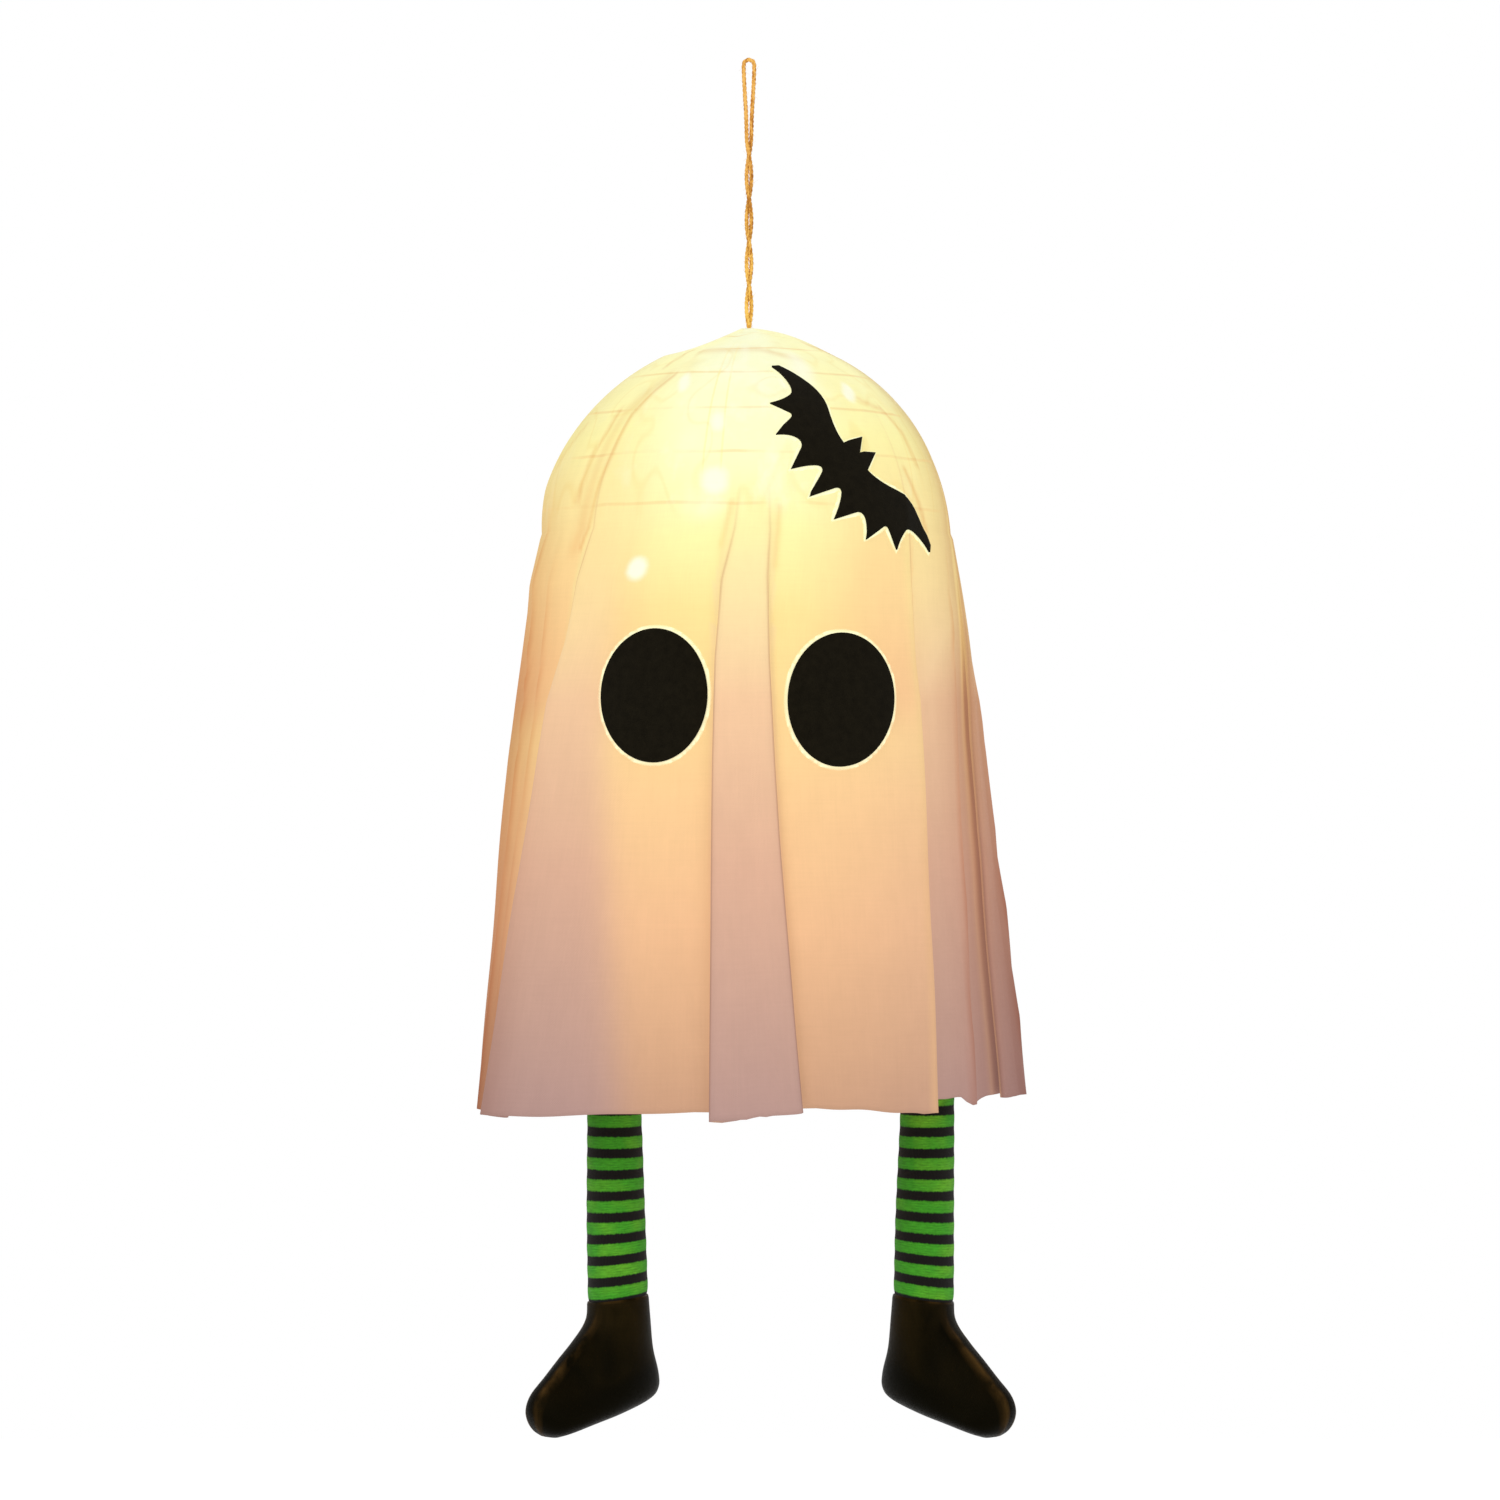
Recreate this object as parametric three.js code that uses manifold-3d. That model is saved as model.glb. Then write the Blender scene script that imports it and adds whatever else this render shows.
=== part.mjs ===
// A light-up hanging ghost, as a three.js scene in millimetres.
// A cloth is draped over a round paper lantern that hangs on a loop of twine. A wire stretcher holds the
// lantern open and carries a string of small lamps, a battery box and a wire on which two striped legs with
// boots swing.
// +Z is up and the face looks towards -Y. The origin is inside the top of the twine loop, where a hook
// bears.

import * as THREE from "three";
import { mergeVertices } from "three/addons/utils/BufferGeometryUtils.js";
import { TessellateModifier } from "three/addons/modifiers/TessellateModifier.js";
import Module from "manifold-3d";

const wasm = await Module();
wasm.setup();

const { PI, sin, cos, min, max, abs } = Math;
const rad = THREE.MathUtils.degToRad;
const vec = (x, y, z) => new THREE.Vector3(x, y, z);

// Clearance between two pieces that touch.
const seat = 0.3;

// Twine
const twineDiameter = 2.2;
const twineGap = 0.6; // between the two strands of the pair
const loopHalfWidth = 2.6; // of the open loop at the top, to the twine's centre
const splitDepth = 36; // below the hook, where the two strands come together
const twistTurns = 2.5;
const twistSteps = 30; // along each strand
const knotRadius = 5;
const knotHeight = 9;

// Lantern
const lanternDrop = 239; // from the hook to the lantern's centre
const lanternRadius = 98.5; // outside of the paper at the ribs
const paperThickness = 0.6;
const mouthLatitude = 66; // of the end rings, in degrees
const ribCount = 8;
const ribWire = 1.2;
const ringWire = 2;
const panelSag = 1.2; // how far the paper lies in between two ribs
const lanternSides = 28;

// Wire stretcher
const stretcherWire = 2;
const eyeRadius = 4.2; // of the one turn round the twine, to the wire's centre
const eyeRise = 2.6; // the height that this turn climbs
const shoulderIn = 3.4; // from the ring's centreline to the wire that passes inside it
const shoulderOut = 1.3; // from the ring's centreline out to the upright
const barDrop = 3.4; // of the bottom bar below the bottom ring
const wireBend = 1.8;

// Lamp string
const lampWire = 1.2;
const lampCount = 20;
const lampTurns = 3.5;
const lampTopLatitude = 57; // where the string starts, in degrees
const lampFall = 21.3; // degrees of latitude that each turn falls
const lampStart = -28; // degrees round the axis from the front, where the string starts
const bulbRadius = 1.8;
const bulbLength = 6;
const leadIn = 6; // from the bar to the hole where the string enters the battery box

// Cloth
const clothThickness = 1.2;
const clothEase = 2.4; // from the paper to the cloth's inside over the dome
const neckRadius = 3.6;
const peakRise = 18; // of the cloth's peak above the top ring
const hemDrop = 518; // of the hem below the hook
const pleatLift = 7; // from one layer of the pleats to the next

// Felt pieces
const feltThickness = 1;
const feltSeat = 0.9; // over the facets of the cloth
const eyeWidth = 50.5;
const eyeHeight = 64;
const eyeTilt = 2.5; // degrees
const eyeCentres = { left_eye: [-44.7, -318], right_eye: [43.4, -320] };
const batAzimuth = 30.5; // degrees round the dome from the front, to the bat's middle
const batLatitude = 19.5; // degrees above the lantern's middle
const batTurn = 54; // degrees that the bat is turned, its right wing down

// Battery box
const cellDiameter = 14.2;
const cellLength = 50;
const nubLength = 1.3;
const nubDiameter = 5.5;
const cellRoom = 0.4; // round each cell
const boxWall = 2;
const partitionWall = 1.6;
const dividerHeight = 6; // of the low wall between the cells
const switchBay = 8; // height above the partition
const coverThickness = 1.6;
const grooveDepth = 1;
const lipThickness = 1.2; // of the case's edge over the cover's sides
const contactThickness = 0.5;
const contactWidth = 10;
const springLength = 5;
const springWire = 0.8;
const springTurns = 3;
const springRadii = { base: 4.6, tip: 3 };
const hookWidth = 12;
const hookThickness = 2;
const boxSetBack = 4; // from the hanger to the box's nearer side
const knobWidth = 4;
const knobTravel = 4;

// Legs
const hangerWire = 2;
const hangerTurnGap = 0.6; // between the hanger's arms where it turns round the bar
const hangerFall = 3; // of each arm from the bar to the hip
const hangerTip = 7; // height of the turned-up ends
const hangerEnd = 5; // from the hip to the turned-up end
const legOffset = 10.8; // of the pair to the right of the axis
const hipSpread = 81.4; // from the pair's middle to each hip
const hipRingRadius = 5;
const hipRingWire = 1.4;
const loopCord = 1.8;
const loopLength = 22;
const ankleDrop = 617; // below the hook
const ankleSpread = 75.8; // from the pair's middle to each ankle
const ankleSetBack = 3.8; // of the ankles behind the hips
const stockingRadii = [[0, 6], [0.03, 9.5], [0.12, 11.6], [0.35, 12.8], [0.62, 13.6], [0.85, 14.6], [1, 15]];
const stockingSides = 12;
const cuffSlope = 8; // degrees, of the boot's top edge
const toeOut = 56; // degrees, of the boots
const bootReach = 52.5; // from the ankle to the toe's tip
const bootHeight = 69; // from the cuff's middle to the sole
const bootHalfWidth = 17.4;

const colours = {
  twine: 0xd9a85c,
  wire: 0xb4b4b0,
  paper: 0xfff6d2,
  lamp: 0xfff2c0,
  copper: 0xc98a4b,
  cloth: 0xecd0b4,
  felt: 0x1b170c,
  casing: 0xf2f2ee,
  cell: 0x3a6fb5,
  spring: 0xc8c8c8,
  cord: 0xf4efe6,
  stocking: 0x3aa62c,
  boot: 0x17130a,
};

const parts = new THREE.Group();

function material(colour, roughness = 0.8, metalness = 0) {
  return new THREE.MeshStandardMaterial({ color: colours[colour], roughness, metalness });
}

function add(name, geometry, finish) {
  const mesh = new THREE.Mesh(geometry, finish);
  mesh.name = name;
  parts.add(mesh);
  return mesh;
}

// Shape helpers

// Rings of points joined into one closed skin, with a fan over each end.
function loft(rings) {
  const sides = rings[0].length;
  const positions = [];
  const index = [];
  for (const ring of rings) for (const p of ring) positions.push(p.x, p.y, p.z);
  for (let i = 0; i + 1 < rings.length; i++) {
    for (let j = 0; j < sides; j++) {
      const a = i * sides + j;
      const b = i * sides + ((j + 1) % sides);
      index.push(a, b, b + sides, a, b + sides, a + sides);
    }
  }
  const last = (rings.length - 1) * sides;
  for (let j = 1; j + 1 < sides; j++) {
    index.push(0, j + 1, j);
    index.push(last, last + j, last + j + 1);
  }
  const geometry = new THREE.BufferGeometry();
  geometry.setAttribute("position", new THREE.Float32BufferAttribute(positions, 3));
  geometry.setIndex(index);
  return geometry;
}

// A round bar along a list of points. Each ring's start is carried on from the one before, so the bar isn't
// wrung.
function bar(points, radius, sides = 8) {
  const rings = [];
  let across = null;
  points.forEach((p, i) => {
    const before = points[max(i - 1, 0)];
    const after = points[min(i + 1, points.length - 1)];
    const into = p.clone().sub(before).normalize();
    const out = after.clone().sub(p).normalize();
    const along = into.add(out).normalize();
    if (!across) across = abs(along.z) < 0.9 ? vec(0, 0, 1) : vec(1, 0, 0);
    across = across.clone().addScaledVector(along, -across.dot(along)).normalize();
    const third = along.clone().cross(across);
    rings.push(
      Array.from({ length: sides }, (_, j) => {
        const turn = (2 * PI * j) / sides;
        return p
          .clone()
          .addScaledVector(across, radius * cos(turn))
          .addScaledVector(third, radius * sin(turn));
      }),
    );
  });
  return loft(rings);
}

// The centreline of a bent wire: straight runs between corners, and a bend at each corner.
function bentLine(corners, bend, steps = 3) {
  const line = [corners[0]];
  for (let i = 1; i + 1 < corners.length; i++) {
    const corner = corners[i];
    const back = corners[i - 1].clone().sub(corner);
    const on = corners[i + 1].clone().sub(corner);
    const reach = min(bend, 0.45 * back.length(), 0.45 * on.length());
    const curve = new THREE.QuadraticBezierCurve3(
      corner.clone().addScaledVector(back.normalize(), reach),
      corner,
      corner.clone().addScaledVector(on.normalize(), reach),
    );
    line.push(...curve.getPoints(steps));
  }
  line.push(corners[corners.length - 1]);
  return line;
}

// A ring of round wire that lies level.
function wireRing(radius, wire, sides, height) {
  return new THREE.TorusGeometry(radius, wire / 2, sides, lanternSides).translate(0, 0, height);
}

// A body of revolution about Z. The profile holds [radius, height] pairs.
function turned(profile, segments) {
  const points = profile.map(([r, h]) => new THREE.Vector2(r, h));
  return new THREE.LatheGeometry(points, segments).rotateX(PI / 2);
}

function solidOf(geometry) {
  const bare = geometry.index ? geometry.toNonIndexed() : geometry.clone();
  for (const name of Object.keys(bare.attributes)) if (name !== "position") bare.deleteAttribute(name);
  const merged = mergeVertices(bare, 1e-4);
  return new wasm.Manifold(
    new wasm.Mesh({
      numProp: 3,
      vertProperties: merged.attributes.position.array,
      triVerts: new Uint32Array(merged.index.array),
    }),
  );
}

function geometryOf(solid) {
  const mesh = solid.getMesh();
  const geometry = new THREE.BufferGeometry();
  geometry.setAttribute("position", new THREE.BufferAttribute(mesh.vertProperties, 3));
  geometry.setIndex(new THREE.BufferAttribute(mesh.triVerts, 1));
  return geometry;
}

function block(low, high) {
  const size = high.clone().sub(low);
  const middle = high.clone().add(low).multiplyScalar(0.5);
  return solidOf(new THREE.BoxGeometry(size.x, size.y, size.z).translate(middle.x, middle.y, middle.z));
}

// Heights that several pieces share

const mouthRadius = (lanternRadius - ringWire) * cos(rad(mouthLatitude));
const mouthHeight = (lanternRadius - ringWire) * sin(rad(mouthLatitude));
const topRingZ = -lanternDrop + mouthHeight;
const bottomRingZ = -lanternDrop - mouthHeight;
const peakZ = topRingZ + peakRise;
const leadReach = Math.hypot(eyeRadius, 2 * eyeRadius); // where the stretcher's wire leaves its eye
const coneFall = (leadReach + stretcherWire / 2 - neckRadius) * (peakRise / (mouthRadius - neckRadius));
const eyeTopZ = peakZ - 2 * clothThickness - coneFall - seat - stretcherWire / 2;
const eyeBottomZ = eyeTopZ - eyeRise;
const barZ = bottomRingZ - barDrop;
const uprightY = mouthRadius + shoulderOut;
const knotTopZ = eyeBottomZ - stretcherWire / 2 - seat;

// Twine loop

const strandOffset = (twineDiameter + twineGap) / 2;

// One side of the loop, from the knot up to the hook: side is 1 or -1.
function strand(side) {
  const bottom = knotTopZ + seat;
  const points = [];
  for (let i = 0; i <= twistSteps; i++) {
    const part = i / twistSteps;
    const turn = 2 * PI * twistTurns * (1 - part);
    const z = bottom + part * (-splitDepth - bottom);
    points.push(vec(side * strandOffset * cos(turn), side * strandOffset * sin(turn), z));
  }
  const topZ = twineDiameter / 2 - loopHalfWidth;
  for (const part of [0.3, 0.6, 0.85, 1]) {
    const ease = part * part * (3 - 2 * part);
    const out = strandOffset + ease * (loopHalfWidth - strandOffset);
    points.push(vec(side * out, 0, -splitDepth + part * (topZ + splitDepth)));
  }
  return points;
}

function twineLine() {
  const topZ = twineDiameter / 2 - loopHalfWidth;
  const arch = [];
  for (const degrees of [45, 90, 135]) {
    arch.push(vec(-loopHalfWidth * cos(rad(degrees)), 0, topZ + loopHalfWidth * sin(rad(degrees))));
  }
  return [...strand(-1), ...arch, ...strand(1).reverse()];
}

// Prints the least gap between two stretches of one tube that lie apart along its length.
function printGap(name, line, diameter, apart) {
  let least = Infinity;
  for (let i = 0; i < line.length; i++) {
    for (let j = i + apart; j < line.length; j++) least = min(least, line[i].distanceTo(line[j]));
  }
  console.log(`${name}: least gap to itself ${(least - diameter).toFixed(2)} mm`);
}

function makeTwine() {
  const curve = new THREE.CatmullRomCurve3(twineLine());
  const section = new THREE.Shape();
  section.absarc(0, 0, twineDiameter / 2, 0, 2 * PI);
  const steps = 80;
  const geometry = new THREE.ExtrudeGeometry(section, { extrudePath: curve, steps, curveSegments: 4 });
  printGap("twine", curve.getSpacedPoints(240), twineDiameter, 12);
  add("hang_cord", geometry, material("twine", 0.95));
}

function makeKnot() {
  const wrap = knotHeight / 3;
  const profile = [
    [0, -knotHeight],
    [0.5 * knotRadius, -knotHeight],
    [0.95 * knotRadius, -knotHeight + 0.6 * wrap],
    [0.8 * knotRadius, -1.9 * wrap],
    [knotRadius, -1.4 * wrap],
    [0.84 * knotRadius, -wrap],
    [0.95 * knotRadius, -0.4 * wrap],
    [0.62 * knotRadius, 0],
    [0, 0],
  ];
  add("hang_knot", turned(profile, 12).translate(0, 0, knotTopZ), material("twine", 0.95));
}

// Lantern

const ribPitch = (2 * mouthLatitude) / (ribCount + 1);
const ribLatitudes = Array.from({ length: ribCount }, (_, i) => mouthLatitude - (i + 1) * ribPitch);

function makePaper() {
  const stations = [-mouthLatitude, ...ribLatitudes.slice().reverse(), mouthLatitude];
  const outside = [];
  stations.forEach((latitude, i) => {
    if (i > 0) {
      const between = rad((latitude + stations[i - 1]) / 2);
      outside.push([(lanternRadius - panelSag) * cos(between), (lanternRadius - panelSag) * sin(between)]);
    }
    outside.push([lanternRadius * cos(rad(latitude)), lanternRadius * sin(rad(latitude))]);
  });
  const shrink = 1 - paperThickness / lanternRadius;
  const inside = outside.map(([r, h]) => [r * shrink, h * shrink]).reverse();
  const profile = [...outside, ...inside, outside[0]];
  add("lantern_paper", turned(profile, lanternSides).translate(0, 0, -lanternDrop), material("paper", 0.9));
}

function makeRibs() {
  const radius = lanternRadius - paperThickness - seat - ribWire / 2;
  ribLatitudes.forEach((latitude, i) => {
    const height = -lanternDrop + radius * sin(rad(latitude));
    const ring = wireRing(radius * cos(rad(latitude)), ribWire, 4, height);
    add(`rib_${i + 1}`, ring, material("wire", 0.4, 0.9));
  });
  add("top_ring", wireRing(mouthRadius, ringWire, 6, topRingZ), material("wire", 0.4, 0.9));
  add("bottom_ring", wireRing(mouthRadius, ringWire, 6, bottomRingZ), material("wire", 0.4, 0.9));
}

// Wire stretcher: one wire, from the eye down one side, along the bottom and up the other side.

function makeStretcher() {
  const inner = mouthRadius - shoulderIn;
  const upper = topRingZ - ringWire / 2 - seat - stretcherWire / 2;
  const lower = bottomRingZ + ringWire / 2 + seat + stretcherWire / 2;
  const side = (y, top) => [
    vec(0, y * inner, topRingZ + ringWire),
    vec(0, y * inner, upper),
    vec(0, y * uprightY, upper),
    vec(0, y * uprightY, lower),
    vec(0, y * inner, lower),
    vec(0, y * inner, top),
  ];
  const turn = [];
  const steps = 12;
  for (let i = 0; i <= steps; i++) {
    const angle = (-2 * PI * i) / steps;
    turn.push(vec(eyeRadius * cos(angle), eyeRadius * sin(angle), eyeTopZ - (eyeRise * i) / steps));
  }
  const back = side(1, barZ).reverse();
  const front = side(-1, barZ);
  const leadIn = vec(eyeRadius, 2 * eyeRadius, eyeTopZ);
  const leadOut = vec(eyeRadius, -2 * eyeRadius, eyeBottomZ);
  const tail = 0.3 * inner;
  const rising = bentLine([vec(0, tail, barZ), ...back, leadIn, turn[0]], wireBend).slice(0, -1);
  const end = vec(0, tail - seat - 0.1, barZ);
  const falling = bentLine([turn[steps], leadOut, ...front, end], wireBend).slice(1);
  add("stretcher", bar([...rising, ...turn, ...falling], stretcherWire / 2, 6), material("wire", 0.4, 0.9));
}

// Lamp string: a coil that springs out against the inside of the ribs, then a lead down to the battery box.

function lampLine() {
  const facets = cos(PI / lanternSides);
  const insideRibs = (lanternRadius - paperThickness - seat - ribWire / 2) * facets - ribWire / 2;
  const insidePaper = (lanternRadius - paperThickness - panelSag) * facets;
  const coilRadius = min(insideRibs - seat - lampWire / 2, insidePaper - seat - bulbRadius);
  const stepsPerTurn = 24;
  const points = [];
  for (let i = 0; i <= lampTurns * stepsPerTurn; i++) {
    const latitude = rad(lampTopLatitude - (lampFall * i) / stepsPerTurn);
    const turn = rad(lampStart) + (2 * PI * i) / stepsPerTurn;
    const level = coilRadius * cos(latitude);
    points.push(vec(level * sin(turn), -level * cos(turn), -lanternDrop + coilRadius * sin(latitude)));
  }
  return points;
}

// The lead leaves the coil's end, passes inside the bottom ring and ends in the battery box's top.
function leadLine(from) {
  const hole = vec(leadIn, caseMiddleY + caseWidth / 4, caseTopZ);
  const inside = vec(leadIn + 9, hole.y + 4, bottomRingZ + 9);
  const turn = new THREE.QuadraticBezierCurve3(
    inside,
    vec(hole.x, hole.y, bottomRingZ + 4),
    vec(hole.x, hole.y, barZ + 2),
  );
  const across = new THREE.QuadraticBezierCurve3(
    from,
    from.clone().multiply(vec(0.72, 0.72, 1)).add(vec(0, 0, -8)),
    inside,
  );
  return [...across.getPoints(6).slice(1, -1), ...turn.getPoints(4), hole.clone().add(vec(0, 0, -boxWall))];
}

function makeLamps() {
  const coil = lampLine();
  const line = [...coil, ...leadLine(coil[coil.length - 1])];
  printGap("lamp string", line, lampWire, 6);
  add("lamp_string", bar(line, lampWire / 2, 6), material("copper", 0.35, 0.8));
  const bore = lampWire / 2 + seat;
  const half = bulbLength / 2;
  const profile = [
    [bore, -half],
    [bulbRadius, -0.35 * half],
    [bulbRadius, 0.35 * half],
    [bore, half],
    [bore, -half],
  ];
  const lengths = [0];
  for (let i = 1; i < coil.length; i++) lengths.push(lengths[i - 1] + coil[i].distanceTo(coil[i - 1]));
  for (let lamp = 0; lamp < lampCount; lamp++) {
    const place = (lengths[lengths.length - 1] * (lamp + 0.5)) / lampCount;
    const step = lengths.findIndex((length) => length > place);
    const run = coil[step].clone().sub(coil[step - 1]).normalize();
    const name = `lamp_${String(lamp + 1).padStart(2, "0")}`;
    const mesh = add(name, turned(profile, 6), material("lamp", 0.2));
    mesh.position.copy(coil[step]).lerp(coil[step - 1], 0.5);
    mesh.quaternion.setFromUnitVectors(vec(0, 0, 1), run);
  }
}

// Cloth

// The value of a list of [level, value] pairs at a level, read in straight lines between them.
function along(pairs, level) {
  if (level >= pairs[0][0]) return pairs[0][1];
  for (let i = 1; i < pairs.length; i++) {
    const [from, start] = pairs[i - 1];
    const [to, end] = pairs[i];
    if (level >= to) return start + ((end - start) * (level - from)) / (to - from);
  }
  return pairs[pairs.length - 1][1];
}

// The cloth below the lantern's middle, by the share of the way down to the hem, as a minus number: how far
// it stands out beyond its size at the middle, to the sides and to the front and back, and how far it hangs
// to the left of the axis.
const skinRadius = lanternRadius + clothEase + clothThickness / 2;
const sideFlare = [[0, 1], [-0.08, 5.5], [-0.22, 10], [-0.38, 15.5], [-0.58, 21], [-0.79, 26.5], [-1, 31.5]];
const frontFlare = [[0, 0.5], [-0.12, 2.5], [-0.3, 6], [-0.64, 13], [-1, 20]];
const leftLean = [[0, 0], [-0.08, 2], [-0.4, 2.5], [-1, 1.5]];

// How far the pleats stand out, by level: 0 is smooth and 1 is full. A level is 1 at the top of the dome, 0
// at the lantern's middle and -1 at the hem. The angles below are by level too.
const panelOpens = [[0.9, 0], [0, 0.15], [-0.29, 0.85], [-1, 1]];
const pleatOpens = [[0.25, 0], [-0.22, 0.8], [-1, 1]];

// The pleats' edges in order round the cloth, from the left of the back. Each holds the side that is raised
// (1 is the side of larger angles), how many layers lie under it, and its angle from the front in degrees.
const edges = [
  { raised: 1, under: 0, track: [[0.4, -156], [-1, -160]] },
  { raised: -1, under: 0, track: [[0.4, -136], [-1, -126]] },
  {
    raised: 1,
    under: 0,
    track: [[0.84, -37.5], [0.64, -45.5], [0, -49.3], [-0.19, -50.5], [-0.3, -54], [-0.59, -59], [-1, -69]],
  },
  { raised: 1, under: 1, track: [[0.17, -5], [-0.09, -7], [-1, -6.6]] },
  { raised: -1, under: 1, track: [[0.17, 8], [-0.22, 6], [-0.53, 7.4], [-1, 10.5]] },
  { raised: -1, under: 0, track: [[0.04, 51.5], [-0.22, 47.2], [-0.55, 45], [-1, 41.7]] },
  { raised: 1, under: 0, track: [[-0.15, 84], [-0.24, 79], [-0.52, 71], [-1, 66]] },
  { raised: -1, under: 0, track: [[0.4, 122], [-1, 132]] },
];

// After each edge, how many points the cloth has before the next, and the height of the ripples in it.
const stretches = [
  { points: 1, ripple: 0 },
  { points: 6, ripple: 2 },
  { points: 3, ripple: 0 },
  { points: 1, ripple: 0 },
  { points: 3, ripple: 0 },
  { points: 1, ripple: 0 },
  { points: 3, ripple: 0 },
  { points: 5, ripple: 2 },
];

// The four points of an edge, from its foot to the raised side: angles while it is flat and when it is open,
// and the share of the lift. The fold's crest stands a little over the layer behind it.
const edgeFlat = [-4, -1.5, 1.5, 4];
const edgeOpen = [-1.2, -0.4, 0.4, 4];
const edgeLift = [0, 0.55, 1.08, 1];

function liftAt(layers, level) {
  const first = min(layers, 1) * along(panelOpens, level);
  const second = max(layers - 1, 0) * along(pleatOpens, level);
  return pleatLift * (first + second);
}

// The cloth's outline at one height, as an angle in degrees and a distance beyond the smooth form for each
// point.
function outlineAt(z) {
  const found = [];
  const level = (z + lanternDrop) / (z > -lanternDrop ? lanternRadius : hemDrop - lanternDrop);
  const open = along(panelOpens, level);
  edges.forEach((edge, k) => {
    const angle = along(edge.track, level);
    const foot = liftAt(edge.under, level);
    const four = edgeLift.map((share, i) => ({
      angle: angle + edge.raised * (edgeFlat[i] + open * (edgeOpen[i] - edgeFlat[i])),
      out: foot + share * (liftAt(edge.under + 1, level) - foot),
    }));
    if (edge.raised < 0) four.reverse();
    found.push(...four);
    const next = edges[(k + 1) % edges.length];
    const start = four[3].angle;
    const reach = next.raised > 0 ? edgeFlat[0] + open * (edgeOpen[0] - edgeFlat[0]) : -edgeFlat[3];
    const end = along(next.track, level) + reach + (k + 1 === edges.length ? 360 : 0);
    const layers = edge.raised > 0 ? edge.under + 1 : edge.under;
    const { points, ripple } = stretches[k];
    for (let i = 1; i <= points; i++) {
      const wave = ripple * open * (i % 2 ? 1 : -1);
      found.push({ angle: start + (i * (end - start)) / (points + 1), out: liftAt(layers, level) + wave });
    }
  });
  return found;
}

// The rows of the cloth from the neck to the hem: height, half width, half depth and how far the wall leans.
function clothRows() {
  const neck = neckRadius + clothThickness / 2;
  const shoulderLatitude = mouthLatitude - 2;
  const rise = peakZ - clothThickness - (skinRadius * sin(rad(shoulderLatitude)) - lanternDrop);
  const run = skinRadius * cos(rad(shoulderLatitude)) - neck;
  const rows = [{ z: peakZ - clothThickness, side: neck, front: neck, lean: Math.atan2(run, rise) }];
  for (const latitude of [shoulderLatitude, 45, 27, 9]) {
    const lean = rad(latitude);
    const level = skinRadius * cos(lean);
    rows.push({ z: skinRadius * sin(lean) - lanternDrop, side: level, front: level, lean });
  }
  for (const share of [0.08, 0.22, 0.38, 0.58, 0.79, 1]) {
    const z = -lanternDrop - share * (hemDrop - lanternDrop);
    const side = skinRadius + along(sideFlare, -share);
    const front = skinRadius + along(frontFlare, -share);
    rows.push({ z, side, front, lean: -0.1, left: along(leftLean, -share) });
  }
  return rows;
}

function makeCloth() {
  const outer = [];
  const inner = [];
  for (const { z, side, front, lean, left = 0 } of clothRows()) {
    const middle = outlineAt(z).map(({ angle, out }) => {
      return vec((side + out) * sin(rad(angle)) - left, -(front + out) * cos(rad(angle)), z);
    });
    const skins = middle.map((p, i) => {
      const back = p.clone().sub(middle.at(i - 1)).normalize();
      const on = middle[(i + 1) % middle.length].clone().sub(p).normalize();
      const tangent = back.add(on).normalize();
      const miter = min(1.4, 1 / tangent.dot(on));
      const normal = vec(tangent.y, -tangent.x, 0).multiplyScalar(miter * cos(lean)).setZ(sin(lean));
      return normal.multiplyScalar(clothThickness / 2);
    });
    outer.push(middle.map((p, i) => p.clone().add(skins[i])));
    inner.push(middle.map((p, i) => p.clone().sub(skins[i])));
  }
  const rings = [...outer, ...inner.reverse()];
  const sides = rings[0].length;
  const index = [];
  for (let i = 0; i < rings.length; i++) {
    const below = (i + 1) % rings.length;
    for (let j = 0; j < sides; j++) {
      const next = (j + 1) % sides;
      index.push(i * sides + j, below * sides + j, below * sides + next);
      index.push(i * sides + j, below * sides + next, i * sides + next);
    }
  }
  const geometry = new THREE.BufferGeometry().setFromPoints(rings.flat());
  geometry.setIndex(index);
  return add("ghost_cloth", geometry, material("cloth", 0.9));
}

// Felt eyes and bat

// Half of the bat as it is cut, in millimetres: the wing along X, the ears up. The other half is its mirror
// image.
const batHalf = [
  ["M", 0, 7.2],
  ["L", 4.9, 15.4],
  ["L", 8.6, 3.9],
  ["Q", 16, 4.8, 25.5, 13],
  ["Q", 32.5, 19, 42.2, 19.8],
  ["Q", 52, 20.6, 60, 20.4],
  ["L", 62.4, 17.6],
  ["Q", 55.5, 16, 49.5, 12.4],
  ["Q", 43.8, 9.2, 43.6, 5],
  ["Q", 43.8, -0.5, 47.2, -6.4],
  ["L", 37, -4],
  ["Q", 34.9, -3.5, 34.4, -7],
  ["L", 33.2, -19.2],
  ["Q", 29, -13.6, 25, -12.8],
  ["Q", 21.8, -12.2, 20.4, -15],
  ["L", 15.8, -27.5],
  ["Q", 11.5, -18.5, 8.4, -15.6],
  ["Q", 6, -13.8, 4.8, -17],
  ["L", 0, -30.1],
];

function batShape() {
  const shape = new THREE.Shape();
  const draw = (kind, ends) => {
    if (kind === "M") shape.moveTo(...ends);
    if (kind === "L") shape.lineTo(...ends);
    if (kind === "Q") shape.quadraticCurveTo(...ends);
  };
  for (const [kind, ...at] of batHalf) draw(kind, at);
  for (let i = batHalf.length - 1; i > 0; i--) {
    const [kind, ...at] = batHalf[i];
    const [x, y] = batHalf[i - 1].slice(-2);
    if (kind === "L") draw("L", [-x, y]);
    if (kind === "Q") draw("Q", [-at[0], at[1], -x, y]);
  }
  return shape;
}

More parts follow.
